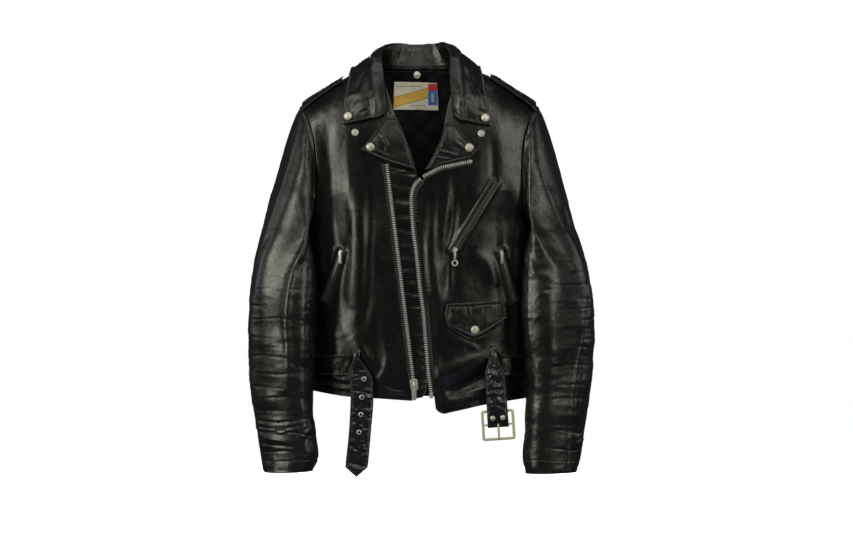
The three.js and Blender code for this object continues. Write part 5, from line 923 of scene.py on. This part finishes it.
d = cr + 0.4 * np.exp(-((e - 1.8) / 1.4) ** 2) - 0.5 * np.exp(-((e - 4.2) / 0.8) ** 2) * smooth(8, 20, path[:, 1])[None]
d = d + 1.2 * stroke(X, path[None, :, 1] + 0 * X, [(-4, 118), (-7, 80), (2, 40)], 4, 1.3) + stroke(X, path[None, :, 1] + 0 * X, [(4, 112), (9, 70), (8, 40)], 4, -1.2)
P = P + N * d[..., None]
STRAP_L = P.copy()
put(sheet_mesh("buckle_strap_leather", to_bk(P), N @ BKn[:3, :3].T, T, M_BELT_PAINTED_BLUE_SHEEN), "buckle_strap", ["belt_buckle_strap"])
bag = Bag()
for x in (-9, 9):
    bag.add_bm(bm_lathe([(0, 0), (4.4, 0), (4.7, 0.35), (4.2, 1.1), (2.8, 1.7), (1.2, 1.95), (0, 2.0)], 30), BK @ frame_at((x, -(r0 + T) - 0.1, 12), (0, -1, 0)))
put(bag.make("strap_rivets", M_CAP, 50), "buckle_strap", ["buckle_rivet_inner", "buckle_rivet_outer"])
bag = Bag()
for x in (-9, 9): bag.add_bm(bm_lathe([(0, 0), (3.6, 0), (3.9, 0.3), (2.6, 0.9), (0, 1.1)], 24), BK @ frame_at((x, r0 + T + 0.1, 12), (0, 1, 0)))
put(bag.make("strap_rivet_backs", M_NICKEL, 50), "buckle_strap")

def rounded_rect(w0, w1, h0, h1, r, n=8):
    out = []
    for cx, cz, a0 in ((w1 - r, h1 - r, 0), (w0 + r, h1 - r, 90), (w0 + r, h0 + r, 180), (w1 - r, h0 + r, 270)):
        for k in range(n + 1): a = math.radians(a0 + 90 * k / n); out.append((cx + r * math.cos(a), cz + r * math.sin(a)))
    return out
bag = Bag()
# frame: a rounded bar swept round the rectangle, plus the centre bar
loop = rounded_rect(-27.4, 27.4, -25.8, 24.2, 2.4, 8); n = len(loop); V_, F = [], []
S = 14
for k, (x, z) in enumerate(loop):
    cx, cz = np.clip(x, -25.0, 25.0), np.clip(z, -23.4, 21.8); dirv = np.array([x - cx, z - cz]); dirv = dirv / np.linalg.norm(dirv)
    hw = 2.5
    for m in range(S):
        a = 2 * math.pi * m / S; c, s_ = math.cos(a), math.sin(a); ee = 0.62
        u = hw * np.sign(c) * abs(c) ** ee; y = 1.6 * np.sign(s_) * abs(s_) ** ee
        V_.append((x + dirv[0] * u, y, z + dirv[1] * u))
for k in range(n):
    for m in range(S): q = (m + 1) % S; k2 = (k + 1) % n; F.append((k * S + m, k * S + q, k2 * S + q, k2 * S + m))
V_ = np.array(V_)
bag.add(to_bk(V_), F)
bl = Bag(); tube(bl, [(x, 0, 0) for x in np.linspace(-26.5, 26.5, 12)], 1.7, 14); bag.add(to_bk(np.concatenate(bl.v)), bl.f)
ob = bag.make("buckle_frame_metal", M_BUCKLE, 60)
bm = bmesh.new(); bm.from_mesh(ob.data); bmesh.ops.recalc_face_normals(bm, faces=bm.faces[:]); bm.to_mesh(ob.data); bm.free(); ob.data.shade_smooth()
put(ob, "buckle", ["buckle_frame"])
bag = Bag(); bl = Bag()
pts = [(0, 3.3, -1.0), (0, 3.4, 1.2), (0, 2.0, 3.2), (0, -0.6, 3.8), (0, -2.8, 2.6), (0, -3.5, 0), (0, -3.6, -6), (0, -3.5, -14), (0, -3.4, -22), (0, -3.3, -27)]
pp = curve(pts)(np.linspace(0, 1, 40)); tube(bl, pp, [1.9 - 0.5 * smooth(0.75, 1.0, t) for t in np.linspace(0, 1, 40)], 14); V_ = np.concatenate(bl.v)
bag.add(to_bk(V_), bl.f); ob = bag.make("buckle_prong_metal", M_BUCKLE, 50)
bm = bmesh.new(); bm.from_mesh(ob.data); bmesh.ops.recalc_face_normals(bm, faces=bm.faces[:]); bm.to_mesh(ob.data); bm.free(); ob.data.shade_smooth()
put(ob, "prong", ["buckle_prong"])

# =====================================================================  zips
def tooth_bm(w=6.0, h=2.9, t=1.9):
    """One tooth: a clamped shank with a nub at its free end (local x across, y along, z out)."""
    bm = bm_box(-w / 2, w * 0.28, -t / 2, t / 2, -h / 2, h / 2, 0.42, 1); b2 = bm_box(w * 0.16, w / 2, -t * 0.34, t * 0.34, -h * 0.38, h * 0.38, 0.3, 1)
    me = bpy.data.meshes.new("t"); b2.to_mesh(me); bm.from_mesh(me); bpy.data.meshes.remove(me); b2.free()
    return bm
def chain(name, P, N, across, pitch, mat, w, h, t, flip=1):
    """Teeth along a path (mm). across: +1/-1 side on which the free ends point."""
    d = np.r_[0, np.cumsum(np.linalg.norm(np.diff(P, axis=0), axis=1))]; s_ = np.arange(pitch * 0.6, d[-1] - pitch * 0.3, pitch)
    at = lambda q, A: np.stack([np.interp(q, d, A[:, c]) for c in range(3)], -1)
    c, tn, n = at(s_, P), unit(at(s_ + 0.8, P) - at(s_ - 0.8, P)), unit(at(s_, N))
    ac = unit(np.cross(n, tn)) * across; tn = np.cross(n, ac)
    bm = tooth_bm(w, h, t); bm.verts.index_update(); V0 = np.array([v.co[:] for v in bm.verts]); F0 = [[v.index for v in f.verts] for f in bm.faces]; bm.free()
    bag = Bag()
    for k in range(len(s_)): bag.add(c[k] + V0[:, :1] * ac[k] + V0[:, 1:2] * tn[k] + V0[:, 2:] * n[k], F0)
    ob = bag.make(name, mat, 40); return ob
def tape(name, P, N, across, x0, x1, off, T=0.9):
    d = np.r_[0, np.cumsum(np.linalg.norm(np.diff(P, axis=0), axis=1))]; n = max(8, int(d[-1] / 4)); s_ = np.linspace(0, d[-1], n)
    at = lambda A: np.stack([np.interp(s_, d, A[:, c]) for c in range(3)], -1)
    c, nn = at(P), unit(at(N)); tn = unit(np.gradient(c, axis=0)); ac = unit(np.cross(nn, tn)) * across
    us = dense(8, abs(x1 - x0), r=0.5); G = c[None] + ac[None] * (x0 + (x1 - x0) * us)[:, None, None] + nn[None] * off
    G = G + nn[None] * (0.12 * np.sin(us[:, None] * 9 + s_[None] * 0.4))[..., None]
    return sheet_mesh(name, G, nn[None] + 0 * G, T, M_TAPE, edge_r=0.5)

# left stringer: lower run on the body, upper run on the lapel
lower = curve([[22, -566], [16, -522], [13, -486], [10, -450], [7, -414], [2, -378], [-2, -342], [-6, -306], [-11, -270], [-13.5, -234], [-13, -202], [-7, -187], [3, -177.5]])(np.linspace(0, 1, 160))
upper = curve([[6.5, -174.6], [11, -171.5], [20, -167], [38, -158], [56, -154], [74, -150], [92, -146.5]])(np.linspace(0, 1, 60))
P1, N1 = on_body(-1, lower[:, 0], lower[:, 1], 0.9)
P2, N2 = on_body(-1, upper[:, 0], upper[:, 1], 4.9 + 0 * upper[:, 0]); k = smooth(0, 0.16, np.linspace(0, 1, 60)); P2 = P2 - N2 * (3.0 * (1 - k))[:, None]
# rise from the body run to the lapel run
put(chain("left_zip_teeth_lower", P1, N1, 1, 4.0, M_TEETH, 6.3, 2.9, 2.0), "body", ["left_zip_stringer"])
put(chain("left_zip_teeth_lapel", P2, N2, 1, 4.0, M_TEETH, 6.3, 2.8, 2.0), "left_lapel_body", ["left_zip_stringer_lapel"])
put(tape("left_zip_tape_lower", P1, N1, -1, -1.0, 11, -1.7), "body")
put(tape("left_zip_tape_lapel", P2, N2, -1, -1.0, 7, -0.9), "left_lapel_body")
bag = Bag()
for (x, z, P_, N_) in ((22, -566, P1[0], N1[0]),):
    bag.add_bm(bm_box(-3.4, 3.4, -4.2, 4.2, -1.7, 1.9, 0.6), frame_at(P_ - np.array([0, 0, 3.0]), N_, (1, 0, 0.1)))
put(bag.make("left_zip_pin", M_NICKEL, 40), "body")
bag = Bag(); bag.add_bm(bm_box(-2.6, 2.6, -3.2, 3.2, -1.6, 1.8, 0.6), frame_at(P2[-1], N2[-1], (0.3, 0, 1))); put(bag.make("left_zip_top_stop", M_NICKEL, 40), "left_lapel_body")
# right stringer: the straight line of the CAD
A3, nA = on_body(-1, np.array(float(MAIN_A[0])), np.array(float(MAIN_A[1]))); B3, nB = on_body(-1, np.array(float(MAIN_B[0])), np.array(float(MAIN_B[1])))
w3 = unit(B3 - A3); nM = on_body(-1, np.array((MAIN_A[0] + MAIN_B[0]) / 2), np.array((MAIN_A[1] + MAIN_B[1]) / 2))[1]; nM = unit(nM - w3 * np.dot(nM, w3)); sM = np.cross(nM, w3)
line = A3[None] + (B3 - A3)[None] * np.linspace(0, 1, 120)[:, None] + nM * 0.7; NL = nM[None] + 0 * line
put(chain("right_zip_teeth", line, NL, -1, 4.0, M_TEETH, 6.3, 2.8, 2.0), "body", ["main_zip_right_stringer"])
put(tape("right_zip_tape", line, NL, 1, -1.0, 12, -1.8), "body")

def slider_bag(n_half, length, t0, t1, zb, crown=1.0):
    """Slider body in local x along teeth, y across, z out: top plate with rounded shoulders, side rails, bridge."""
    bag = Bag(); hw = n_half; L = length
    out = [(0, -hw * 0.78), (L * 0.55, -hw), (L * 0.9, -hw), (L, -hw * 0.72), (L, hw * 0.72), (L * 0.9, hw), (L * 0.55, hw), (0, hw * 0.78)]
    bm = bmesh.new(); vs_ = [bm.verts.new((x, y, t0)) for x, y in out]; bm.faces.new(vs_); r = bmesh.ops.extrude_face_region(bm, geom=bm.faces[:])
    for v in [g for g in r["geom"] if isinstance(g, bmesh.types.BMVert)]: v.co.z = t1
    bmesh.ops.recalc_face_normals(bm, faces=bm.faces[:]); bmesh.ops.bevel(bm, geom=bm.edges[:], offset=0.35, segments=2, profile=0.7, affect="EDGES"); bag.add_bm(bm)
    for sg in (-1, 1): bag.add_bm(bm_box(L * 0.08, L * 0.96, sg * hw - (0.0 if sg < 0 else 1.1), sg * hw + (1.1 if sg < 0 else 0.0), zb, t0 + 0.4, 0.3))
    # arched bridge that holds the pull
    bl = Bag(); a = np.linspace(0, math.pi, 16); R = L * 0.30
    tube(bl, [(L * 0.48 - R * math.cos(q), 0, t1 - 0.2 + crown * 1.5 * math.sin(q)) for q in a], 0.75 * crown, 8); bag.add(np.concatenate(bl.v), bl.f)
    return bag
def put_slider(name, bag, A, w, s_, n, body, node_name):
    # hand and cuff sliders get the darker nickel with painted shade
    M = np.array([w, s_, n]); V_ = np.concatenate(bag.v) @ M + A; ob = new_object(name, V_, bag.f, M_NICKEL_PAINTED_SHADE if ("hand" in name or "cuff" in name) else M_NICKEL, 40)
    bm = bmesh.new(); bm.from_mesh(ob.data); bmesh.ops.recalc_face_normals(bm, faces=bm.faces[:]); bm.to_mesh(ob.data); bm.free(); ob.data.shade_smooth(); ob.data.set_sharp_from_angle(angle=math.radians(40))
    put(ob, body, [node_name]); return ob

def zip_frame(A, B, surf, lift, tw, tt, wall, sl):
    a, _ = surf(*A); b, _ = surf(*B); w = unit(b - a); n = surf((A[0] + B[0]) / 2, (A[1] + B[1]) / 2)[1]; n = unit(n - w * np.dot(n, w)); s_ = np.cross(n, w); L = np.linalg.norm(b - a); hw = tw / 2 + 0.4 + wall
    if lift is None:
        lift = -9
        for k in range(21):
            for c in (-hw, 0, hw):
                p = a + w * L * k / 20 + s_ * c; q, nq = surf(p[0], p[2]); lift = max(lift, np.dot(q - p, nq) / np.dot(nq, n) + 0.8)
    return a, w, n, s_, L, lift, hw
def bsurf(x, z):
    p, n = on_body(-1, np.array(float(x)), np.array(float(z))); return p, n

def pull_obj(name, top, h, f, outline_fn, body, node_name, mat):
    """outline_fn(bag) builds the pull in local x across, y outward (negative), z up, hanging from the origin."""
    bag = Bag(); outline_fn(bag); M = np.array([h, -f, [0, 0, 1]]); V_ = np.concatenate(bag.v) @ M + top
    ob = new_object(name, V_, bag.f, mat, 40); bm = bmesh.new(); bm.from_mesh(ob.data); bmesh.ops.recalc_face_normals(bm, faces=bm.faces[:]); bm.to_mesh(ob.data); bm.free(); ob.data.shade_smooth(); ob.data.set_sharp_from_angle(angle=math.radians(40))
    put(ob, body, [node_name]); return ob

def main_pull(bag):
    T = 1.5
    bag.add_bm(bm_plate([(-2.4, 0.4), (2.4, 0.4), (3.2, -5), (4.3, -8), (4.3, -23), (3.2, -26), (-3.2, -26), (-4.3, -23), (-4.3, -8), (-3.2, -5)], -T, 0, 0.35))
    bag.add_bm(bm_plate([(-2.6, -10), (2.6, -10), (2.6, -21), (-2.6, -21)], -T - 0.35, -T + 0.2, 0.2))
def ring_pull(bag):
    T = 1.5; n = 24
    bag.add_bm(bm_plate([(-1.6, 0.4), (1.6, 0.4), (2.0, -6), (1.7, -15.5), (-1.7, -15.5), (-2.0, -6)], -T, 0, 0.3))
    bl = Bag(); tube(bl, [(4.7 * math.cos(a), -0.75, -21.6 + 4.7 * math.sin(a) - 1.2) for a in np.linspace(0, 2 * math.pi, 29)[:-1]], 1.25, 10, closed=True); bag.add(np.concatenate(bl.v), bl.f)
def small_pull(bag):
    T = 1.5
    bag.add_bm(bm_plate([(-1.5, 0.4), (1.5, 0.4), (2.9, -5), (2.9, -18), (2.0, -20), (-2.0, -20), (-2.9, -18), (-2.9, -5)], -T, 0, 0.3))

def small_teeth(name, a, w, s_, n, L, lift, body, node_name):
    z0 = lift + 1.0; P = a + w * np.linspace(0, L, 60)[:, None] + n * z0; Nn = n[None] + 0 * P; bag = Bag()
    bm = bm_box(-2.2, 2.2, -0.72, 0.72, -1.0, 1.0, 0.32, 1); bm.verts.index_update(); V0 = np.array([v.co[:] for v in bm.verts]); F0 = [[v.index for v in f.verts] for f in bm.faces]; bm.free()
    for k, q in enumerate(np.arange(1.2, L - 1, 1.9)):
        sh = 0.28 * (1 if k % 2 else -1); bag.add(a + w * q + n * z0 + (V0[:, :1] + sh) * s_ + V0[:, 1:2] * w + V0[:, 2:] * n, F0)
    ob = bag.make(name, M_DULL, 40); put(ob, body, [node_name])
    us = dense(10, 13, r=0.4); G = a[None, None] + w * np.linspace(-1, L + 1, 40)[None, :, None] + s_ * ((us - 0.5) * 13)[:, None, None] + n * (lift - 0.35)
    G = G - n * (0.5 * np.abs(us - 0.5) * 2)[:, None, None]
    put(sheet_mesh(name + "_tape", G, n[None, None] + 0 * G, 0.7, M_TAPE, edge_r=0.4), body)

SMALL = dict(tw=4.6, tt=2.0, wall=1.2, sl=9)
def do_zip(name, A, B, surf, bodies, nodes, lift=None, tw=4.6, tt=2.0, wall=1.2, sl=9, pull=small_pull, big=False):
    a, w, n, s_, L, lift, hw = zip_frame(A, B, surf, lift, tw, tt, wall, sl)
    t0 = lift + tt + 0.4; t1 = t0 + 1.3
    if not big: small_teeth(name + "_zip_teeth_row", a, w, s_, n, L, lift, bodies[0], nodes[0])
    bag = slider_bag(hw, sl, t0, t1, lift, 1.3 if big else 0.8)
    put_slider(name + "_slider_metal", bag, a + w * 1.5, w, s_, n, bodies[1], nodes[1])
    top = a + w * (1.5 + sl * 0.4) + n * t1; h = unit(np.cross([0, 0, 1.0], n)); f = np.cross(h, [0, 0, 1.0])
    if np.dot(f, n) < 0: f = -f; h = h
    # hand zip pulls get the darker nickel with painted shade
    pull_obj(name + "_pull_metal", top + f * 0.9, h, f, pull, bodies[2], nodes[2], M_NICKEL_PAINTED_SHADE if "hand" in name else M_NICKEL)
do_zip("main", MAIN_A, MAIN_B, bsurf, ("body", "main_slider", "main_pull"), (None, "main_zip_slider", "main_zip_pull"), lift=-0.8, tw=6.3, tt=3.0, wall=3.4, sl=20, pull=main_pull, big=True)
do_zip("chest", CH_A, CH_B, bsurf, ("body", "chest_slider", "chest_pull"), ("chest_zip_teeth", "chest_zip_slider", "chest_zip_pull"), pull=ring_pull)
do_zip("left_hand", LH_A, LH_B, bsurf, ("body", "left_hand_slider", "left_hand_pull"), ("left_hand_zip_teeth", "left_hand_zip_slider", "left_hand_zip_pull"))
do_zip("right_hand", RH_A, RH_B, bsurf, ("body", "right_hand_slider", "right_hand_pull"), ("right_hand_zip_teeth", "right_hand_zip_slider", "right_hand_zip_pull"))
for s, sn in ((1, "left"), (-1, "right")):
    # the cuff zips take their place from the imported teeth
    lo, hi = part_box(sn + "_cuff_zip_teeth"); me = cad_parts[sn + "_cuff_zip_teeth"]; V_ = np.array([(me.matrix_world @ v.co)[:] for v in me.data.vertices]) * 1000
    V_ = np.unique(np.round(V_, 3), axis=0); c = V_.mean(0); u_, sv, vt = np.linalg.svd(V_ - c, full_matrices=False); w = vt[0]; w = w if w[2] > 0 else -w
    n = vt[2]; n = n if n[1] > 0 else -n; s_ = np.cross(n, w); q = (V_ - c) @ w; L = q.max() - q.min(); a = c + w * q.min() - n * (1.0 + 1.0)
    small_teeth(sn + "_cuff_zip_teeth_row", a, w, s_, n, L, 1.0, sn + "_arm", sn + "_cuff_zip_teeth")
    bag = slider_bag(3.9, 9, 3.4, 4.7, 1.0, 0.8); put_slider(sn + "_cuff_slider_metal", bag, a + w * 1.5, w, s_, n, sn + "_cuff_slider", sn + "_cuff_zip_slider")
    top = a + w * (1.5 + 3.6) + n * 4.7; h = unit(np.cross([0, 0, 1.0], n)); f = np.cross(h, [0, 0, 1.0]); f = f if np.dot(f, n) > 0 else -f
    # cuff pulls get the darker nickel with painted shade
    pull_obj(sn + "_cuff_pull_metal", top + f * 0.9, h, f, small_pull, sn + "_cuff_pull", sn + "_cuff_zip_pull", M_NICKEL_PAINTED_SHADE)

# =====================================================================  snaps
def cap_profile(r=7.8, h=3.3): return [(0, 0), (r * 0.93, 0), (r, 0.35), (r * 1.0, 0.7), (r * 0.95, 1.25), (r * 0.80, h * 0.78), (r * 0.5, h * 0.96), (r * 0.2, h), (0, h)]
def ring_profile(r=6.4): return [(0, 0), (r * 0.95, 0), (r, 0.4), (r * 0.96, 0.9), (r * 0.72, 1.2), (r * 0.58, 0.8), (r * 0.52, 0.7), (r * 0.46, 2.2), (r * 0.36, 2.8), (0, 2.9)]
def snap(name, x, z, off, prof, body, node_name, mat):
    p, n = on_body(-1, np.array(float(x)), np.array(float(z)), off); bag = Bag(); bag.add_bm(bm_lathe(prof, 40), frame_at(p, n)); put(bag.make(name, mat, 60), body, [node_name])
snap("right_lapel_cap", -87, -121, 7.0, cap_profile(), "right_lapel_body", "right_lapel_snap", M_CAP)
snap("left_lapel_cap", 90, -122, 7.0, cap_profile(), "left_lapel_body", "left_lapel_snap", M_CAP)
snap("right_body_stud_metal", -115, -94, 0.8, ring_profile(), "body", "right_body_stud", M_NICKEL)
snap("left_body_stud_metal", 112, -96, 0.8, ring_profile(), "body", "left_body_stud", M_NICKEL)
snap("coin_flap_cap", 100, -450, 7.9, cap_profile(), "coin_flap", "coin_flap_snap", M_CAP)
snap("right_collar_cap", -126, -67, 12.2, cap_profile(), "body", "right_collar_snap", M_CAP)
snap("left_collar_cap", 118, -70, 12.2, cap_profile(), "body", "left_collar_snap", M_CAP)
lo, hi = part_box("neck_snap"); bag = Bag(); bag.add_bm(bm_lathe([(0, -0.2), (6.4, -0.2), (6.6, 0.4), (6.2, 1.1), (4.9, 1.5), (4.2, 1.2), (3.9, 1.6), (3.7, 3.4), (3.2, 4.0), (0, 4.0)], 36), frame_at(((lo.x + hi.x) * 500, hi.y * 1000, (lo.z + hi.z) * 500), (0, -1, 0)))
put(bag.make("neck_snap_metal", M_NICKEL, 60), "body", ["neck_snap"])

# =====================================================================  topstitching
def run(bag, fn, pts, n=None, **kw):
    c = curve(pts); n = n or int(max(10, c.length / 3)); q = c(np.linspace(0, 1, n)); P, N = fn(q[:, 0], q[:, 1]); stitches(bag, P, N, **kw)
fs = lambda x, z: front_surf(x, z, 0.0)
bag = Bag()
zs = np.linspace(-585, -212, 60); run(bag, fs, [[left_edge(z) + 4.6, z] for z in zs]); run(bag, fs, [[left_edge(z) + 11, z] for z in zs])
zs = np.linspace(-572, -165, 60); run(bag, fs, [[right_edge(z) - 4.2, z] for z in zs])
run(bag, fs, [[50, -590], [115, -578], [200, -565]]); run(bag, fs, [[-20, -569], [-70, -566], [-124, -563], [-200, -551]])
for s in (1, -1):
    z = np.linspace(-235, -60, 40); run(bag, fs, [[s * (arm_front(q) - 4.5), q] for q in z])
    run(bag, fs, [[s * x, shoulder_z(x) - 5.5] for x in np.linspace(80, 200, 20)])
for A, B, o in ((CH_A, CH_B, (11.2, -11.2)), (LH_A, LH_B, (9.4, -9.4)), (RH_A, RH_B, (9.4, -9.4))):
    dx, dz = B[0] - A[0], B[1] - A[1]; L = math.hypot(dx, dz); ux, uz = dx / L, dz / L
    box_ = [(A[0] - ux * 5 - uz * o[0], A[1] - uz * 5 + ux * o[0]), (B[0] + ux * 5 - uz * o[0], B[1] + uz * 5 + ux * o[0]), (B[0] + ux * 5 - uz * o[1], B[1] + uz * 5 + ux * o[1]), (A[0] - ux * 5 - uz * o[1], A[1] - uz * 5 + ux * o[1])]
    for k in range(4):
        a, b = box_[k], box_[(k + 1) % 4]; q = np.linspace(0, 1, 30); P, N = fs(a[0] + (b[0] - a[0]) * q, a[1] + (b[1] - a[1]) * q); stitches(bag, P, N)
bs = lambda x, z: back_surf(x, z, 0.0)
for zc in (-486, -494, -562): q = np.linspace(-196, 196, 90); P, N = bs(q, zc + 0 * q); stitches(bag, P, N)
q = np.linspace(-182, 182, 90); P, N = bs(q, -74 + 10 * np.cos(q / 90)); stitches(bag, P, N)
for s in (1, -1):
    q = np.linspace(-235, -60, 60); P, N = bs(s * (arm_back(q) - 4.5), q); stitches(bag, P, N)
    q = np.linspace(-415, -120, 80); P, N = bs(s * (150 + 0.03 * (q + 300) - 5), q); stitches(bag, P, N)
put(bag.make("body_topstitching", M_THREAD), "body")
def edge_run(bag, P, N, e_in, half, skip=()):
    """Stitches along the sheet's own border at a distance e_in, sampled from the grid."""
    nu, nv = P.shape[:2]
    def line(idx_fn, n):
        return np.array([idx_fn(k) for k in range(n)])
    def inset(Pl, Nl):  # Pl: (n_lines, n_pts, 3): march across lines until e_in
        d = np.cumsum(np.r_[np.zeros((1, Pl.shape[1])), np.linalg.norm(np.diff(Pl, axis=0), axis=-1)], axis=0); out, on = [], []
        for c in range(Pl.shape[1]):
            out.append([np.interp(e_in, d[:, c], Pl[:, c, m]) for m in range(3)]); on.append([np.interp(e_in, d[:, c], Nl[:, c, m]) for m in range(3)])
        return np.array(out), unit(np.array(on))
    sides = {"u0": (P, N), "u1": (P[::-1], N[::-1]), "v0": (P.transpose(1, 0, 2), N.transpose(1, 0, 2)), "v1": (P.transpose(1, 0, 2)[::-1], N.transpose(1, 0, 2)[::-1])}
    for k, (a, b) in sides.items():
        if k in skip: continue
        o, on = inset(a[:40], b[:40]); L = np.linalg.norm(np.diff(o, axis=0), axis=1).sum(); cut_ = max(1, int(len(o) * e_in / max(L, 1)))
        stitches(bag, o[cut_:-cut_] + on[cut_:-cut_] * half, on[cut_:-cut_])
bag = Bag(); edge_run(bag, LP + LN * 5.0, LN, 5.2, 1.15, skip=("u0",)); put(bag.make("left_lapel_stitching", M_THREAD), "left_lapel_body")
bag = Bag(); edge_run(bag, RP + RN * 5.0, RN, 5.2, 1.15, skip=("u0",)); put(bag.make("right_lapel_stitching", M_THREAD), "right_lapel_body")
for s, sn in ((1, "left"), (-1, "right")):
    bag = Bag(); edge_run(bag, EP[s][0] + EP[s][1] * 3.2, EP[s][1], 4.6, 1.15); put(bag.make(sn + "_epaulette_stitching", M_THREAD), None, (), blend=("body", sn + "_epaulette_body", (s * 0.213, 0, -0.045), (s * 0.196, 0, -0.030)))
bag = Bag(); edge_run(bag, Pcd, Nc, 6.0, 0.0, skip=("v0",)); put(bag.make("collar_stitching", M_THREAD), "body")
bag = Bag(); edge_run(bag, Pf + Nf * 5.6, Nf, 6.4, 1.1); put(bag.make("coin_flap_stitching", M_THREAD), "coin_flap")
bag = Bag(); edge_run(bag, TAILP, TAILN, 4.2, 1.2); put(bag.make("belt_tail_stitching", M_THREAD), "belt_tail_body")
bag = Bag(); edge_run(bag, to_bk(STRAP_L)[:, :84], (N @ BKn[:3, :3].T)[:, :84] if N.shape == STRAP_L.shape else np.tile(np.array([0, -1.0, 0]), STRAP_L[:, :84].shape[:2] + (1,)), 4.2, 1.1, skip=("v0", "v1")); put(bag.make("buckle_strap_stitching", M_THREAD), "buckle_strap")
bag = Bag(); edge_run(bag, BELT_P, BELT_N, 4.0, 1.15, skip=("u0", "u1")); put(bag.make("belt_band_stitching", M_THREAD), "body")
for s, sn in ((1, "left"), (-1, "right")):
    Pd, Nd, ph, ks, _ = SL[s]; bag = Bag()
    j = int(np.argmin(np.abs(Pd[50, :, 2] + 684))); ring = np.r_[Pd[:, j], Pd[:1, j]]; rn = np.r_[Nd[:, j], Nd[:1, j]]; stitches(bag, ring, rn)
    a = int(np.searchsorted(ks, 2.5)); jj = np.arange(int(np.searchsorted(ks, 5.6)) if s > 0 else len(ks) - 12, len(ks) - 6); i2 = int(240 / 360 * len(ph)) + 3; stitches(bag, Pd[i2, a:-6], Nd[i2, a:-6])
    f = (SEAM_PH[s][jj] + 5.0) / 360 * len(ph); i0 = np.floor(f).astype(int) % len(ph); t = (f - np.floor(f))[:, None]; i1 = (i0 + 1) % len(ph); stitches(bag, Pd[i0, jj] * (1 - t) + Pd[i1, jj] * t, Nd[i0, jj])
    put(bag.make(sn + "_sleeve_stitching", M_THREAD), sn + "_arm")

# =====================================================================  stage and light
def stage_mat(name, c, emit=0.0):
    m, nt, b = nodes_of(name); b.inputs["Base Color"].default_value = (*c, 1); b.inputs["Roughness"].default_value = 0.9
    if emit: b.inputs["Emission Color"].default_value = (1, 1, 1, 1); b.inputs["Emission Strength"].default_value = emit
    return m
def plane(name, verts, mat):
    me = bpy.data.meshes.new(name); me.from_pydata(verts, [], [(0, 1, 2, 3)]); ob = bpy.data.objects.new(name, me); scene.collection.objects.link(ob); me.materials.append(mat); ob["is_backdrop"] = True; return ob
floor = plane("floor", [(-30, -30, -0.93), (30, -30, -0.93), (30, 30, -0.93), (-30, 30, -0.93)], stage_mat("pale_floor", (0.9, 0.9, 0.9), 0.95))
def dome():
    bm = bmesh.new(); bmesh.ops.create_uvsphere(bm, u_segments=48, v_segments=24, radius=28); bmesh.ops.reverse_faces(bm, faces=bm.faces[:])
    me = bpy.data.meshes.new("backdrop"); bm.to_mesh(me); bm.free(); ob = bpy.data.objects.new("backdrop", me); scene.collection.objects.link(ob)
    me.materials.append(stage_mat("white_backdrop", (0.9, 0.9, 0.9), 1.0)); ob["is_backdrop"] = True; return ob
for ob in (floor, dome()):  # seen by the camera only, so that the white round the jacket doesn't wash it out
    ob.visible_diffuse = False; ob.visible_glossy = False; ob.visible_transmission = False; ob.visible_shadow = False
world = bpy.data.worlds.new("studio"); scene.world = world; world.use_nodes = True
bg = world.node_tree.nodes["Background"]; bg.inputs[0].default_value = (0.92, 0.96, 1.0, 1); bg.inputs[1].default_value = 0.05

def area(name, loc, target, size, power, color=(1, 1, 1), shape_y=None):
    l = bpy.data.lights.new(name, "AREA"); l.energy = power; l.color = color; l.shape = "RECTANGLE"; l.size = size; l.size_y = shape_y or size
    o = bpy.data.objects.new(name, l); scene.collection.objects.link(o); o.location = loc
    o.rotation_euler = (Vector(target) - Vector(loc)).to_track_quat("-Z", "Y").to_euler(); return o
def neck_spot():
    l = bpy.data.lights.new("neck_spot", "SPOT"); l.energy = 210; l.spot_size = math.radians(1.9); l.spot_blend = 0.9; l.shadow_soft_size = 0.06; l.color = (1.0, 0.98, 0.93)
    o = bpy.data.objects.new("neck_spot", l); bpy.context.scene.collection.objects.link(o); o.location = (0.0, -4.5, 0.9)
    o.rotation_euler = (Vector((-0.003, 0.03, -0.028)) - Vector(o.location)).to_track_quat("-Z", "Y").to_euler(); return o
neck_spot()
area("strip_left", (-2.3, -2.3, 0.5), (-0.05, 0, -0.30), 0.6, 47, (1.0, 0.98, 0.83), 2.2)
area("strip_right", (2.0, -2.7, 0.6), (0.05, 0, -0.28), 0.6, 22, (1.0, 0.98, 0.83), 2.0)
area("front_soft", (0.5, -3.3, 2.1), (0, 0, -0.2), 1.3, 20, (1.0, 0.985, 0.85), 0.6)
area("top", (0, -0.6, 1.7), (0, 0, -0.1), 1.4, 5, (1, 1, 1), 0.4)
area("cool_low", (0.0, -2.4, -1.9), (0, 0, -0.62), 1.8, 1.9, (0.45, 0.60, 1.0), 0.5)
area("back_left", (-0.75, 3.9, 0.25), (0, 0, -0.3), 1.0, 46, (1.0, 0.98, 0.94), 2.0)
area("back_right", (0.55, 3.9, -0.05), (0, 0, -0.3), 1.0, 34, (1.0, 0.98, 0.94), 2.0)
area("side_left", (-4.2, 0.3, 0.8), (0, 0, -0.3), 1.6, 17, (1.0, 0.98, 0.95), 2.2)
area("side_right", (4.2, -0.1, 0.9), (0, 0, -0.3), 1.6, 20, (1.0, 0.98, 0.95), 2.2)
scene.view_settings.view_transform = "Standard"
scene.view_settings.look = "None"

lo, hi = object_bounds()
